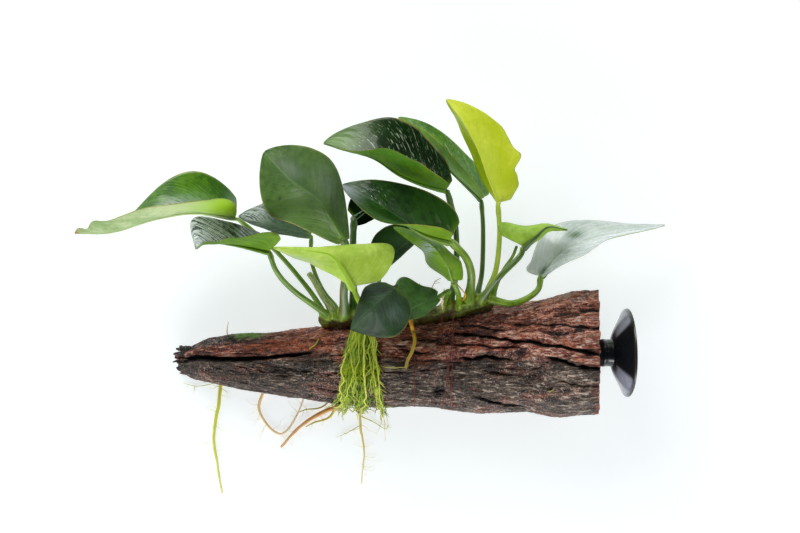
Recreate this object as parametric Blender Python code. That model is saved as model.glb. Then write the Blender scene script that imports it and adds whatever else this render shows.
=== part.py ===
"""Anubias plant grown on a tapered piece of driftwood that has a suction cup in its sawn end.

It lies on the flat back of the wood. X runs along the wood towards the cup, Y runs from the
wood to the leaves, and Z points up. Sizes and places are in millimetres until a mesh is made.
"""
import math

import bmesh
import bpy
from mathutils import Vector, noise

MM = 0.001
GAP = 0.3
SHARP_EDGE_DEG = 50

# Driftwood: where its long edges run, as seen from above, and its height beside its width
WOOD_TIP_X = -103.0
WOOD_SAWN_X = 89.5
WOOD_UPPER_EDGE = [(-103, -1.6), (-98, 1.9), (-90, 5.9), (-77, 8.4), (-63, 9.3), (-42, 11.5), (-24, 13), (5, 13.2),
                   (25, 18), (34, 19.9), (47, 22.4), (62, 24.4), (72, 26.2), (80, 28.8), (89.5, 29)]
WOOD_LOWER_EDGE = [(-103, -7.4), (-99, -11.3), (-88, -13.8), (-81, -15), (-63, -18.6), (-49, -20.1), (-28, -22.9),
                   (3, -24.3), (18, -25), (34, -26.1), (47, -26.5), (57, -25.7), (64.5, -28), (72, -28.8),
                   (80, -28), (89.5, -27)]
WOOD_HEIGHT_SHARE = 0.96
WOOD_FLAT_SHARE = 0.86
WOOD_RINGS = 42
WOOD_UPPER_SIDES = 20
WOOD_LOWER_SIDES = 8
WOOD_LUMP = 1.3
WOOD_LUMP_PER_MM = 0.04
WOOD_LUMP_ROUND = 2.2
CRACK_DEPTH_LIMIT = 0.8

# Hollow across the underside that keeps the thread off the table: its ends, its slope and height
THREAD_NOTCH = (6.0, 27.0, 0.6, 1.9)

# Cracks in the wood: points seen from above, depth, half width and the row of corners that follows it
CRACKS = [
    ([(-104, -4.4), (-91, -2), (-82, -2.5), (-70, -2.4), (-57, -1.1), (-46, 0), (-36, 1.5)], 6.0, 1.3, 11),
    ([(22, 10.4), (35, 8.9), (46, 7.4), (57, 6.3), (68, 4.5), (77, 3.2), (90, 0.8)], 3.6, 1.6, 8),
    ([(25, -0.1), (32, -1.6), (38, -0.1), (46, -0.8), (52, -2.5)], 3.0, 1.6, 11),
    ([(61, 1.0), (70, -1.4), (77, -3.6), (90, -5.6)], 2.8, 1.6, 11),
    ([(29, -17.4), (47, -21.4), (63, -23.6)], 2.2, 1.6, 16),
]

# Suction cup: distances along its axis from the sawn face, and radii
CUP_LEAN_DEG = 5.0
CUP_NECK_RADIUS = 6.4
CUP_SEAT = (WOOD_SAWN_X + GAP + CUP_NECK_RADIUS * math.sin(math.radians(CUP_LEAN_DEG)), 0.9, 26.0)
CUP_NECK_LENGTH = 5.2
CUP_RIM_RADIUS = 20.0
CUP_DEPTH = 12.4
CUP_LIP = 1.3
CUP_SIDES = 24

# Creeping stem on the shoulder of the wood
STEM_FROM_X = -37.0
STEM_TO_X = 43.0
STEM_RADIUS = 3.9
STEM_SWELL = 0.07
STEM_SWELL_PER_MM = 1.15
STEM_REACH = STEM_RADIUS * (1.0 + STEM_SWELL)
STEM_SHOULDER_DEG = 30.0
STEM_CLEARANCE = 1.3
STEM_RINGS = 27
STEM_SIDES = 8

# Leaf blades: the rib from base to tip, and the offsets from the rib to each margin at even steps
BLADE_THICKNESS = 0.8
BLADE_ROWS = 9
BLADE_HALF_COLUMNS = 2
BLADE_CUPPING = 1.2
BLADE_LOBE = 2.5
BLADE_ROUND_BASE = 0.5
BLADE_POINTED_TIP = 0.8
BLADE_FROM = 0.02
BLADE_TO = 0.985
BLADE_LOBE_FROM = 0.04
BLADES = {
    "blade_01": dict(
        rib=[(-72.5, 61.5, 40), (-90, 63.5, 45), (-108, 60.5, 47), (-127, 55, 42), (-145, 54.5, 35)],
        left=[(3, 7, 14), (0, 4, 16), (0, 6, 15), (0, 10, 12)],
        right=[(2, 18.5, -3), (1, 18.5, -4), (1, 11, -9), (0, 5, -14)]),
    "blade_02": dict(
        rib=[(-57, 46.5, 50), (-72, 49.5, 50), (-86, 50.5, 40), (-92, 47.5, 26)],
        left=[(8, 7, 12), (1, 5, 14), (0, 0, 13), (0, -2, 12)],
        right=[(2, 9, -9), (0, 9, -9), (-7, 14, -10), (-10, 16, -8)]),
    "blade_03": dict(
        rib=[(-40, 54, 26), (-56, 58, 30), (-73, 62, 26)],
        left=[(0, -3, 6), (0, -3, 6)],
        right=[(2, 12, -8), (2, 12, -8)]),
    "blade_04": dict(
        rib=[(-24.5, 52, 54), (-35, 68, 61), (-46.5, 76.5, 64), (-58.5, 89, 60)],
        left=[(-3, -6, -3), (-12.5, -12.5, -6), (-16, -18, -6)],
        right=[(6, -2, -3), (11, 14, -4), (16, 20, -4)]),
    "blade_05": dict(
        rib=[(20.5, 73.5, 46), (11, 75.5, 50), (0, 79.5, 54), (-11, 86.5, 54), (-22, 90, 50), (-34, 94, 42)],
        left=[(1, 4, 12), (2.5, 6.5, 14), (3, 6.5, 14), (2, 0.5, 12), (0, -1, 10)],
        right=[(4, 8, -2), (10.5, 12.5, -3), (9.5, 19.5, -4), (8, 21, -4), (6, 22, -4)]),
    "blade_06": dict(
        rib=[(36.5, 70, 28), (30.5, 75.5, 32), (22, 83, 36), (11, 95, 36), (-1, 107, 28)],
        left=[(1, 2, 12), (3, 1.5, 14), (4, 3, 14), (3, 4, 13)],
        right=[(7, 6, -9), (8, 11, -10)]),
    "blade_07": dict(
        rib=[(21.5, 51, 56), (10.5, 54, 60), (0.5, 60, 62), (-12, 68, 62), (-25, 75, 58)],
        left=[(2, 7, 14), (0, 2, 14), (-4, -6.5, 13), (-6, -8, 12)],
        right=[(9, 17, -3), (4, 12, -8)]),
    "blade_08": dict(
        rib=[(23, 33.5, 48), (19.5, 42, 54), (13.5, 49.5, 53), (5, 53.5, 47), (-3, 57, 40)],
        left=[(10, 1, -7), (5, 1, -9), (1, 3, -9), (1, 4, -8)],
        right=[(-3, 0, -9), (-3.5, -2, -10), (-1, -4, -8), (-1, -3, -8)]),
    "blade_09": dict(
        rib=[(-8.5, 38, 36), (-2, 46, 32), (5.5, 52.5, 26), (11, 57, 20)],
        left=[(-9, 9, -4), (-8, 8, -6)],
        right=[(2.5, -1, 8), (3, -3, 8)]),
    "blade_10": dict(
        rib=[(-20, 31.5, 66), (-24.5, 39, 70), (-29.5, 44.5, 72), (-41, 46.5, 72), (-54, 48, 66)],
        left=[(24, 4, -2), (23, 12, -4), (9.5, 7, -9), (2, 3, -11), (0, 1.5, -11), (0, 1, -10)],
        right=[(-2, 0, -4), (-8, -4, -8), (-5, -4, -12)]),
    "blade_11": dict(
        rib=[(-1.5, 31, 56), (-6.5, 26.5, 66), (-12, 21.5, 70), (-21, 13, 63)],
        left=[(9, -9, -8), (12, -13, -10)],
        right=[(-11, 4, -8), (-5, 4, -12)]),
    "blade_12": dict(
        rib=[(16.5, 26, 42), (10, 23.5, 46), (4, 20.5, 48), (-1, 17, 47)],
        left=[(1, -3, 6), (2.5, -4, 7), (3, -5, 7)],
        right=[(-1, 5, -4), (-3, 11, -5), (-6, 10, -6)]),
    "blade_13": dict(
        rib=[(43.5, 68, 36), (39, 78, 39), (34.5, 90.5, 41), (28, 103, 41), (20.5, 114, 37)],
        left=[(-1, 1, -9), (-3, 0, -10), (-3, -1, -12)],
        right=[(12, 4, -4), (15, 5, -4), (15, 8, -4)]),
    "blade_14": dict(
        rib=[(54.5, 48.5, 42), (59.5, 53, 46), (65, 57, 46), (74, 56, 40)],
        left=[(1, -1, -12), (1.5, -1.5, -12), (1, -2, -10)],
        right=[(-19, 12, -2), (-13, 8.5, -8), (-6, 3, -13), (-2, 1.5, -14), (0, 1.5, -12)]),
    "blade_15": dict(
        rib=[(63, 35.5, 30), (72, 46, 36), (85.5, 52.5, 36), (102, 55.5, 30), (120.5, 58.5, 22)],
        left=[(-10, 2, -10), (-7, 10, -10), (1, 6.5, -10), (0, 4, -12)],
        right=[(0, -1, 12), (3.5, -4, 13), (0, -1.5, 13), (0, -2, 12)]),
    "blade_16": dict(
        rib=[(-20.5, 61, 34), (-12.5, 66, 32), (-1, 68.5, 26)],
        left=[(-4, 10, -10), (-4, 10, -10)],
        right=[(2, -4, -8), (2, -4, -8)]),
}

# Leaf stalks: place on the creeping stem, angle round it (0 away from the wood, 90 up), the
# points passed on the way to the blade, and the radius
STALK_SIDES = 6
STALK_STEPS = 7
STALK_RISE = 2.5
STALK_WIDEST = 1.15
STALK_TAPER = 0.3
STALKS = {
    "stalk_01": dict(x=-34.5, turn=-20, via=[(-42, 30.5, 25), (-56, 47, 29)], radius=1.15),
    "stalk_02": dict(x=-32.5, turn=60, via=[(-47, 29, 38), (-54, 37.5, 46)], radius=1.3),
    "stalk_03": dict(x=-27.5, turn=-30, via=[(-35.5, 30, 22), (-40, 42, 23)], radius=1.0),
    "stalk_04": dict(x=-25.0, turn=50, via=[(-25, 29.5, 34), (-23, 43.5, 42)], radius=1.9),
    "stalk_05": dict(x=22.5, turn=0, via=[(25, 38, 34), (24.5, 58, 40)], radius=1.4),
    "stalk_06": dict(x=34.5, turn=-35, via=[(37, 38, 26), (37.5, 56.5, 25)], radius=1.15),
    "stalk_07": dict(x=31.0, turn=30, via=[(31, 36, 38), (27.5, 44, 46)], radius=1.6),
    "stalk_08": dict(x=26.5, turn=65, via=[(25.5, 28, 43)], radius=1.3),
    "stalk_09": dict(x=-12.0, turn=0, via=[(-10, 29.5, 32)], radius=1.0),
    "stalk_10": dict(x=-17.0, turn=70, via=[(-16.5, 22, 44), (-18.5, 26.5, 55)], radius=1.4),
    "stalk_11": dict(x=-8.0, turn=60, via=[(-7, 24, 43), (-3.5, 29, 50)], radius=1.3),
    "stalk_12": dict(x=19.5, turn=30, via=[(21.5, 29, 39)], radius=1.1),
    "stalk_13": dict(x=38.5, turn=-5, via=[(43, 39, 32), (44.5, 54, 32)], radius=1.25),
    "stalk_14": dict(x=36.5, turn=50, via=[(44.5, 36, 42), (52.5, 44, 42)], radius=1.4),
    "stalk_15": dict(x=42.0, turn=25, via=[(54, 27, 33), (63, 29, 30)], radius=1.5),
    "stalk_16": dict(x=-21.0, turn=-20, via=[(-21, 35, 28), (-21, 50, 31)], radius=1.7),
}

# Stalks that carry no blade: an old one broken off and a thin young one
BARE_STALKS = {
    "old_stalk": dict(x=-30.0, turn=20, via=[(-35, 27, 28), (-38.5, 33.5, 30)], radius=1.5, end=(-41, 37, 31)),
    "young_stalk": dict(x=41.5, turn=-15, via=[(46, 38, 33), (50, 44, 34)], radius=0.8, end=(52, 49, 35)),
}

# Loose roots: their points and radius
ROOT_SIDES = 5
ROOT_STEPS = 10
ROOTS = {
    "root_far_left": dict(
        route=[(-83.5, -12.8, 1.6), (-84.5, -24, 1.1), (-87, -40, 1.1), (-85, -54, 1.1), (-83, -66, 1.1)],
        radius=0.85),
    "root_loop": dict(
        route=[(-62.5, -16.5, 2.6), (-66, -26, 1.0), (-60, -35.5, 1.0), (-53, -39.5, 1.0), (-47, -30, 1.0),
               (-44, -18.5, 2.6)],
        radius=0.65),
    "root_tan": dict(
        route=[(-27, -21.5, 4.5), (-29, -26.5, 3.2), (-37, -30, 2.4), (-46, -36, 1.6), (-54.5, -45, 1.3)],
        radius=1.1),
    "root_pale": dict(
        route=[(-19, -26, 2.5), (-18, -38, 0.9), (-17, -48, 0.9), (-18, -62, 0.9)],
        radius=0.6),
}
ROOT_TAPER = 0.45
ORANGE_ROOT_PATH = [(4.5, 10), (6, 7), (5.5, 3), (3.5, -2), (2.5, -5)]
ORANGE_ROOT_RADIUS = 0.9
ORANGE_ROOT_CLEARANCE = 1.1

# Root clump that hangs over the wood: from where it leaves the stem to its loose ends
CLUMP_MIDDLE_X = -17.5
CLUMP_HALF_WIDTHS = [3.6, 4.5, 6.5, 8.5, 10.0, 10.5, 10.5]
CLUMP_ANGLES_DEG = [78, 98, 118, 138, 158]
CLUMP_HANG = [(-30.5, 8.5), (-35.0, 2.6)]
CLUMP_THICKNESS = 2.4
CLUMP_EDGE_SHARE = 0.6
CLUMP_CLEARANCE = 1.9

# Tying thread: turns round the wood and the stem
THREAD_FROM_X = 10.0
THREAD_PITCH = 4.0
THREAD_TURNS = 2.0
THREAD_RADIUS = 0.28
THREAD_STEPS_PER_TURN = 32
THREAD_CLEARANCE = 1.3


def clear_scene():
    for old in list(bpy.data.objects):
        bpy.data.objects.remove(old, do_unlink=True)


def finish(name, colour, roughness, metallic=0.0):
    material = bpy.data.materials.new(name)
    material.use_nodes = True
    shader = material.node_tree.nodes["Principled BSDF"]
    shader.inputs["Base Color"].default_value = (*colour, 1.0)
    shader.inputs["Roughness"].default_value = roughness
    shader.inputs["Metallic"].default_value = metallic
    return material


def add_piece(name, points, faces, material):
    mesh = bpy.data.meshes.new(name)
    mesh.from_pydata([tuple(Vector(p) * MM) for p in points], [], faces)
    shell = bmesh.new()
    shell.from_mesh(mesh)
    bmesh.ops.triangulate(shell, faces=[f for f in shell.faces if len(f.verts) > 4])
    bmesh.ops.recalc_face_normals(shell, faces=shell.faces)
    shell.to_mesh(mesh)
    shell.free()
    mesh.materials.append(material)
    mesh.shade_smooth()
    mesh.set_sharp_from_angle(angle=math.radians(SHARP_EDGE_DEG))
    piece = bpy.data.objects.new(name, mesh)
    bpy.context.scene.collection.objects.link(piece)
    return piece


def along(points, t):
    """Point on a smooth curve through the points, t from 0 to 1."""
    knots = [Vector(p) for p in points]
    knots = [2 * knots[0] - knots[1], *knots, 2 * knots[-1] - knots[-2]]
    place = min(max(t, 0.0), 1.0) * (len(points) - 1)
    start = min(int(place), len(points) - 2)
    f = place - start
    a, b, c, d = knots[start:start + 4]
    bend = (2 * a - 5 * b + 4 * c - d) * f * f + (3 * b - a - 3 * c + d) * f ** 3
    return 0.5 * (2 * b + (c - a) * f + bend)


def across(table, x):
    """Second column of a table read at x, straight between its rows."""
    for (x0, y0), (x1, y1) in zip(table, table[1:]):
        if x <= x1:
            return y0 + (y1 - y0) * max(x - x0, 0.0) / (x1 - x0)
    return table[-1][1]


def tube(path, radii, sides):
    """Points and faces of a closed tube along the path."""
    points, faces = [], []
    side = None
    for i, here in enumerate(path):
        run = (path[min(i + 1, len(path) - 1)] - path[max(i - 1, 0)]).normalized()
        if side is None:
            side = run.orthogonal().normalized()
        side = (side - run * side.dot(run)).normalized()
        lift = run.cross(side)
        for k in range(sides):
            turn = 2 * math.pi * k / sides
            points.append(here + (side * math.cos(turn) + lift * math.sin(turn)) * radii[i])
    for i in range(len(path) - 1):
        for k in range(sides):
            n = (k + 1) % sides
            faces.append((i * sides + k, i * sides + n, (i + 1) * sides + n, (i + 1) * sides + k))
    faces.append(tuple(reversed(range(sides))))
    faces.append(tuple(range((len(path) - 1) * sides, len(path) * sides)))
    return points, faces


def wood_section(x):
    """Middle height and place, half width and half height of the wood at x."""
    upper, lower = across(WOOD_UPPER_EDGE, x), across(WOOD_LOWER_EDGE, x)
    half_width = (upper - lower) / 2
    half_height = half_width * WOOD_HEIGHT_SHARE
    return (upper + lower) / 2, half_height * WOOD_FLAT_SHARE, half_width, half_height


def crack_depth(x, y):
    deepest = 0.0
    for line, depth, half_width, row in CRACKS:
        if line[0][0] <= x <= line[-1][0]:
            away = (y - across(line, x)) / half_width
            deepest = max(deepest, depth * math.exp(-away * away))
    return deepest


def wood_skin(x, angle, rough=True):
    """Point of the wood's surface at x, angle 0 towards the leaves and 90 degrees up."""
    middle, centre_z, half_width, half_height = wood_section(x)
    y = middle + half_width * math.cos(angle)
    z = centre_z + half_height * math.sin(angle)
    if rough:
        around = Vector((math.cos(angle), math.sin(angle))) * WOOD_LUMP_ROUND
        lump = noise.noise(Vector((x * WOOD_LUMP_PER_MM, around.x, around.y))) * WOOD_LUMP
        sink = crack_depth(x, y) if math.sin(angle) > 0 else 0.0
        sink = min(sink, half_height * CRACK_DEPTH_LIMIT)
        y += lump * math.cos(angle)
        z += lump * math.sin(angle) - sink
    start, end, slope, height = THREAD_NOTCH
    floor = height if start < x < end else 0.0
    return Vector((x, y, max(z, floor)))


def wood_angles(x):
    """Angles of the corners of one ring: one row of corners runs along each crack."""
    middle, centre_z, half_width, half_height = wood_section(x)
    anchors = {0: 0.0, WOOD_UPPER_SIDES: math.pi}
    for line, depth, crack_width, row in CRACKS:
        if line[0][0] <= x <= line[-1][0]:
            share = (across(line, x) - middle) / half_width
            anchors[row] = math.acos(max(-0.95, min(0.95, share)))
    angles = []
    rows = sorted(anchors)
    for low, high in zip(rows, rows[1:]):
        for row in range(low, high):
            share = (row - low) / (high - low)
            angles.append(anchors[low] + (anchors[high] - anchors[low]) * share)
    angles += [math.pi + math.pi * k / WOOD_LOWER_SIDES for k in range(WOOD_LOWER_SIDES)]
    return angles


def driftwood():
    start, end, slope, height = THREAD_NOTCH
    places = [WOOD_TIP_X + (WOOD_SAWN_X - WOOD_TIP_X) * i / (WOOD_RINGS - 1) for i in range(WOOD_RINGS)]
    places = [x for x in places if min(abs(x - start), abs(x - end)) > 2 * slope]
    places = sorted(places + [start, start + slope, end - slope, end])
    points, faces = [], []
    for x in places:
        points += [wood_skin(x, angle) for angle in wood_angles(x)]
    sides = WOOD_UPPER_SIDES + WOOD_LOWER_SIDES
    for i in range(len(places) - 1):
        for k in range(sides):
            n = (k + 1) % sides
            a, b = i * sides, (i + 1) * sides
            faces.append((a + k, a + n, b + n, b + k))
    faces.append(tuple(range(sides)))
    faces.append(tuple(range((len(places) - 1) * sides, len(places) * sides)))
    return add_piece("driftwood", points, faces, finish("wood", (0.16, 0.075, 0.05), 0.6))


def cup_axis():
    lean = math.radians(CUP_LEAN_DEG)
    return Vector((math.cos(lean), 0.0, -math.sin(lean)))


def suction_cup():
    rim = CUP_DEPTH
    profile = [(0.0, 0.0), (0.0, CUP_NECK_RADIUS), (CUP_NECK_LENGTH, CUP_NECK_RADIUS),
               (CUP_NECK_LENGTH + 0.5, CUP_NECK_RADIUS + 2.0), (rim - 4.6, 13.2), (rim - 1.7, 18.4),
               (rim - 0.5, CUP_RIM_RADIUS), (rim, CUP_RIM_RADIUS), (rim, CUP_RIM_RADIUS - CUP_LIP),
               (rim - 1.4, 16.8), (rim - 4.0, 10.5), (rim - 5.3, 5.0), (rim - 5.7, 0.0)]
    axis = cup_axis()
    sideways = Vector((0.0, 1.0, 0.0))
    upright = axis.cross(sideways)
    points, rings = [], []
    for reach, radius in profile:
        count = CUP_SIDES if radius > 0 else 1
        rings.append(range(len(points), len(points) + count))
        for k in range(count):
            turn = 2 * math.pi * k / CUP_SIDES
            spoke = sideways * math.cos(turn) + upright * math.sin(turn)
            points.append(Vector(CUP_SEAT) + axis * reach + spoke * radius)
    faces = []
    for a, b in zip(rings, rings[1:]):
        for k in range(CUP_SIDES):
            n = (k + 1) % CUP_SIDES
            corners = [a[k % len(a)], a[n % len(a)], b[n % len(b)], b[k % len(b)]]
            faces.append(tuple(dict.fromkeys(corners)))
    return add_piece("suction_cup", points, faces, finish("rubber", (0.01, 0.012, 0.015), 0.15))


def stem_radius(x):
    share = (x - STEM_FROM_X) / (STEM_TO_X - STEM_FROM_X)
    taper = min(1.0, 0.55 + 3.0 * min(share, 1.0 - share))
    return STEM_RADIUS * taper * (1.0 + STEM_SWELL * math.sin(x * STEM_SWELL_PER_MM))


def stem_middle(x):
    angle = math.radians(STEM_SHOULDER_DEG)
    skin = wood_skin(x, angle, rough=False)
    return skin + Vector((0.0, math.cos(angle), math.sin(angle))) * (STEM_REACH + STEM_CLEARANCE)


def creeping_stem():
    places = [STEM_FROM_X + (STEM_TO_X - STEM_FROM_X) * i / (STEM_RINGS - 1) for i in range(STEM_RINGS)]
    points, faces = tube([stem_middle(x) for x in places], [stem_radius(x) for x in places], STEM_SIDES)
    return add_piece("creeping_stem", points, faces, finish("stem", (0.10, 0.25, 0.03), 0.4))


def blade_breadth(t):
    """Share of the full half width at t: round at the base, drawn out at the tip."""
    a, b = BLADE_ROUND_BASE, BLADE_POINTED_TIP
    peak = (a / (a + b)) ** a * (b / (a + b)) ** b
    return t ** a * (1 - t) ** b / peak


def blade_run(blade, t):
    return (along(blade["rib"], t + 0.02) - along(blade["rib"], t - 0.02)).normalized()


def blade_point(blade, t, s):
    """Middle of the blade's thickness, s from -1 at the left margin to 1 at the right one."""
    offset = along(blade["left" if s < 0 else "right"], t) * blade_breadth(t)
    run = blade_run(blade, t)
    upper = run.cross(offset) if s < 0 else offset.cross(run)
    lobe = BLADE_LOBE * (1 - t) ** 4 * min(1.0, t / BLADE_LOBE_FROM) * abs(s)
    cupping = BLADE_CUPPING * math.sin(math.pi * abs(s)) * blade_breadth(t)
    return along(blade["rib"], t) + offset * abs(s) - run * lobe - upper.normalized() * cupping


def blade_upper(blade, t, s):
    """Direction of the blade's upper face."""
    left = along(blade["left"], t)
    right = along(blade["right"], t)
    run = blade_run(blade, t)
    left_up, right_up = run.cross(left).normalized(), right.cross(run).normalized()
    if s == 0:
        return (left_up + right_up).normalized()
    return left_up if s < 0 else right_up


def leaf_blade(name, material):
    blade = BLADES[name]
    columns = range(-BLADE_HALF_COLUMNS, BLADE_HALF_COLUMNS + 1)
    points = []
    for face in (0.5, -0.5):
        for i in range(BLADE_ROWS + 1):
            t = BLADE_FROM + (BLADE_TO - BLADE_FROM) * i / BLADE_ROWS
            for c in columns:
                s = c / BLADE_HALF_COLUMNS
                points.append(blade_point(blade, t, s) + blade_upper(blade, t, s) * BLADE_THICKNESS * face)
    width = len(columns)
    sheet = width * (BLADE_ROWS + 1)
    faces = []
    for i in range(BLADE_ROWS):
        for c in range(width - 1):
            a = i * width + c
            faces.append((a, a + 1, a + width + 1, a + width))
            faces.append((sheet + a + width, sheet + a + width + 1, sheet + a + 1, sheet + a))
    border = list(range(width))
    border += [i * width + width - 1 for i in range(1, BLADE_ROWS + 1)]
    border += [BLADE_ROWS * width + c for c in range(width - 2, -1, -1)]
    border += [i * width for i in range(BLADE_ROWS - 1, 0, -1)]
    for a, b in zip(border, border[1:] + border[:1]):
        faces.append((b, a, sheet + a, sheet + b))
    return add_piece(name, points, faces, material)


def stalk_start(x, turn):
    """Foot of a stalk just clear of the creeping stem, and the way it sets out."""
    angle = math.radians(turn)
    out = Vector((0.0, math.cos(angle), math.sin(angle)))
    return stem_middle(x) + out * (STEM_REACH + 2 * GAP), out


def stalk(name, spec, end, material):
    foot, out = stalk_start(spec["x"], spec["turn"])
    route = [foot, foot + out * STALK_RISE, *[Vector(p) for p in spec["via"]], Vector(end)]
    path = [along(route, i / STALK_STEPS) for i in range(STALK_STEPS + 1)]
    radii = [spec["radius"] * (STALK_WIDEST - STALK_TAPER * i / STALK_STEPS) for i in range(STALK_STEPS + 1)]
    points, faces = tube(path, radii, STALK_SIDES)
    return add_piece(name, points, faces, material)


def roots():
    pale = finish("root", (0.45, 0.42, 0.10), 0.5)
    for name, spec in ROOTS.items():
        path = [along(spec["route"], i / ROOT_STEPS) for i in range(ROOT_STEPS + 1)]
        radii = [spec["radius"] * (1.0 - ROOT_TAPER * i / ROOT_STEPS) for i in range(ROOT_STEPS + 1)]
        add_piece(name, *tube(path, radii, ROOT_SIDES), pale)
    path = []
    for x, y in ORANGE_ROOT_PATH:
        middle, centre_z, half_width, half_height = wood_section(x)
        share = (y - middle) / half_width
        top = centre_z + half_height * math.sqrt(1 - share * share)
        path.append(Vector((x, y, top + ORANGE_ROOT_RADIUS + ORANGE_ROOT_CLEARANCE)))
    fine = [along(path, i / ROOT_STEPS) for i in range(ROOT_STEPS + 1)]
    add_piece("root_orange", *tube(fine, [ORANGE_ROOT_RADIUS] * len(fine), ROOT_SIDES), pale)


def root_clump():
    """Flat bundle of fine roots that follows the wood's round and hangs off its edge."""
    middles, outs = [], []
    for degrees in CLUMP_ANGLES_DEG:
        angle = math.radians(degrees)
        outs.append(Vector((0.0, math.cos(angle), math.sin(angle))))
        middles.append(wood_skin(CLUMP_MIDDLE_X, angle, rough=False))
    for y, z in CLUMP_HANG:
        middles.append(Vector((CLUMP_MIDDLE_X, y, z)))
        outs.append(Vector((0.0, -0.8, 0.6)))
    points, faces = [], []
    for middle, out, half in zip(middles, outs, CLUMP_HALF_WIDTHS):
        edge = CLUMP_EDGE_SHARE
        for sideways, lift in ((-1, 0.0), (0, 0.0), (1, 0.0), (1, edge), (0, 1.0), (-1, edge)):
            lifted = out * (CLUMP_CLEARANCE + CLUMP_THICKNESS * lift)
            points.append(middle + lifted + Vector((sideways * half, 0.0, 0.0)))
    for i in range(len(middles) - 1):
        for k in range(6):
            n = (k + 1) % 6
            faces.append((i * 6 + k, i * 6 + n, (i + 1) * 6 + n, (i + 1) * 6 + k))
    faces.append(tuple(range(6)))
    faces.append(tuple(range(len(middles) * 6 - 6, len(middles) * 6)))
    return add_piece("root_clump", points, faces, finish("clump", (0.35, 0.45, 0.04), 0.5))


def hull_reach(x, angle):
    """How far a tight thread lies from the wood's middle at this angle, over the wood and the stem."""
    middle, centre_z, half_width, half_height = wood_section(x)
    stem = stem_middle(x)
    centre = Vector((x, middle, centre_z))
    outline = [wood_skin(x, math.radians(d)) - centre for d in range(0, 360, 6)]
    for d in range(0, 360, 30):
        spoke = Vector((0.0, math.cos(math.radians(d)), math.sin(math.radians(d))))
        outline.append(stem + spoke * STEM_REACH - centre)
    out_y, out_z = math.cos(angle), math.sin(angle)
    reach = 0.0
    for a in outline:
        for b in outline:
            cross_a, cross_b = out_y * a.z - out_z * a.y, out_y * b.z - out_z * b.y
            if cross_a * cross_b <= 0 and cross_a != cross_b:
                hit = a + (b - a) * (cross_a / (cross_a - cross_b))
                reach = max(reach, hit.y * out_y + hit.z * out_z)
    return reach


def tying_thread():
    steps = int(THREAD_STEPS_PER_TURN * THREAD_TURNS)
    path = []
    for i in range(steps + 1):
        angle = 2 * math.pi * i / THREAD_STEPS_PER_TURN
        x = THREAD_FROM_X + THREAD_PITCH * i / THREAD_STEPS_PER_TURN
        middle, centre_z, half_width, half_height = wood_section(x)
        reach = hull_reach(x, angle) + THREAD_CLEARANCE
        z = centre_z + reach * math.sin(angle)
        path.append(Vector((x, middle + reach * math.cos(angle), max(z, THREAD_NOTCH[3] / 2))))
    points, faces = tube(path, [THREAD_RADIUS] * len(path), 4)
    return add_piece("tying_thread", points, faces, finish("thread", (0.2, 0.05, 0.04), 0.6))


def main():
    clear_scene()
    driftwood()
    suction_cup()
    creeping_stem()
    leaf_green = finish("leaf", (0.05, 0.16, 0.03), 0.3)
    young_green = finish("young_leaf", (0.42, 0.55, 0.06), 0.4)
    stalk_green = finish("stalk", (0.12, 0.28, 0.04), 0.35)
    for name, blade in BLADES.items():
        leaf_blade(name, young_green if name == "blade_13" else leaf_green)
        spec = STALKS[name.replace("blade", "stalk")]
        base = Vector(blade["rib"][0])
        last = Vector(spec["via"][-1])
        end = base + (last - base).normalized() * (spec["radius"] + GAP)
        stalk(name.replace("blade", "stalk"), spec, end, stalk_green)
    for name, spec in BARE_STALKS.items():
        stalk(name, spec, spec["end"], stalk_green)
    roots()
    root_clump()
    tying_thread()


main()
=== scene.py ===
"""Looks of an anubias plant grown on driftwood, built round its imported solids.

It lies on the flat back of the wood. X runs along the wood towards the cup, Y runs from the
wood to the leaves, and Z points up. Sizes and places are in millimetres until a mesh is made.
"""
import math
import random

import bpy
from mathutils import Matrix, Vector, noise

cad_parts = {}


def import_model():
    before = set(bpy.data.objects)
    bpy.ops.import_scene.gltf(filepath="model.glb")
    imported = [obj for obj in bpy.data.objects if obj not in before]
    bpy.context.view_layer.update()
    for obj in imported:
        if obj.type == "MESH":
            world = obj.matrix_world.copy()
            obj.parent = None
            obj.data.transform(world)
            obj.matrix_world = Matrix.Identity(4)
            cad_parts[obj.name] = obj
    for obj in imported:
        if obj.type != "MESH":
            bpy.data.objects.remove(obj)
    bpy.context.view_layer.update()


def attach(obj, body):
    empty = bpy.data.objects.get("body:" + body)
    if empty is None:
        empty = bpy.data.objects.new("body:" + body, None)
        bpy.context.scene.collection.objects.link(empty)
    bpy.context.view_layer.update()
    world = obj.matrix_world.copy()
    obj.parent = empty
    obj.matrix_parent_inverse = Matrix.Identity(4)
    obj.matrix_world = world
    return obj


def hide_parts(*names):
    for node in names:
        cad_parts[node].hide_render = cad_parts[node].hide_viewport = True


MM = 0.001
BODY = "root"
RANDOM_SEED = 7
# Holds the bends of splinters and fine roots, which come from vector noise, the same in each run
NOISE_SEED = 1795828654

# Camera and light
CAMERA_PLACE = (0.0, 39.8, 727.0)
CAMERA_LENS = 70.0
CAMERA_SENSOR = 36.0
FLOOR_SIDE = 6000.0
SKY_COLOUR = (0.95, 0.98, 1.0)
SKY_LOW, SKY_HIGH = 1.3, 0.06
FLOOR_GLOW = 0.66
FLOOR_GLOW_COLOUR = (0.94, 0.99, 1.0, 1.0)
LIGHTS = [
    dict(name="light_key", place=(-600, 1130, 820), aim=(0, 30, 30), sides=(1030, 870), power=14.5),
    dict(name="light_wood_side", place=(-120, -1290, 535), aim=(0, 0, 20), sides=(1650, 420), power=13.5),
    dict(name="light_cup_side", place=(1160, 300, 1000), aim=(0, 30, 20), sides=(530, 530), power=2.2),
]
LIGHT_COLOUR = (1.0, 0.985, 0.96)

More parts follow.
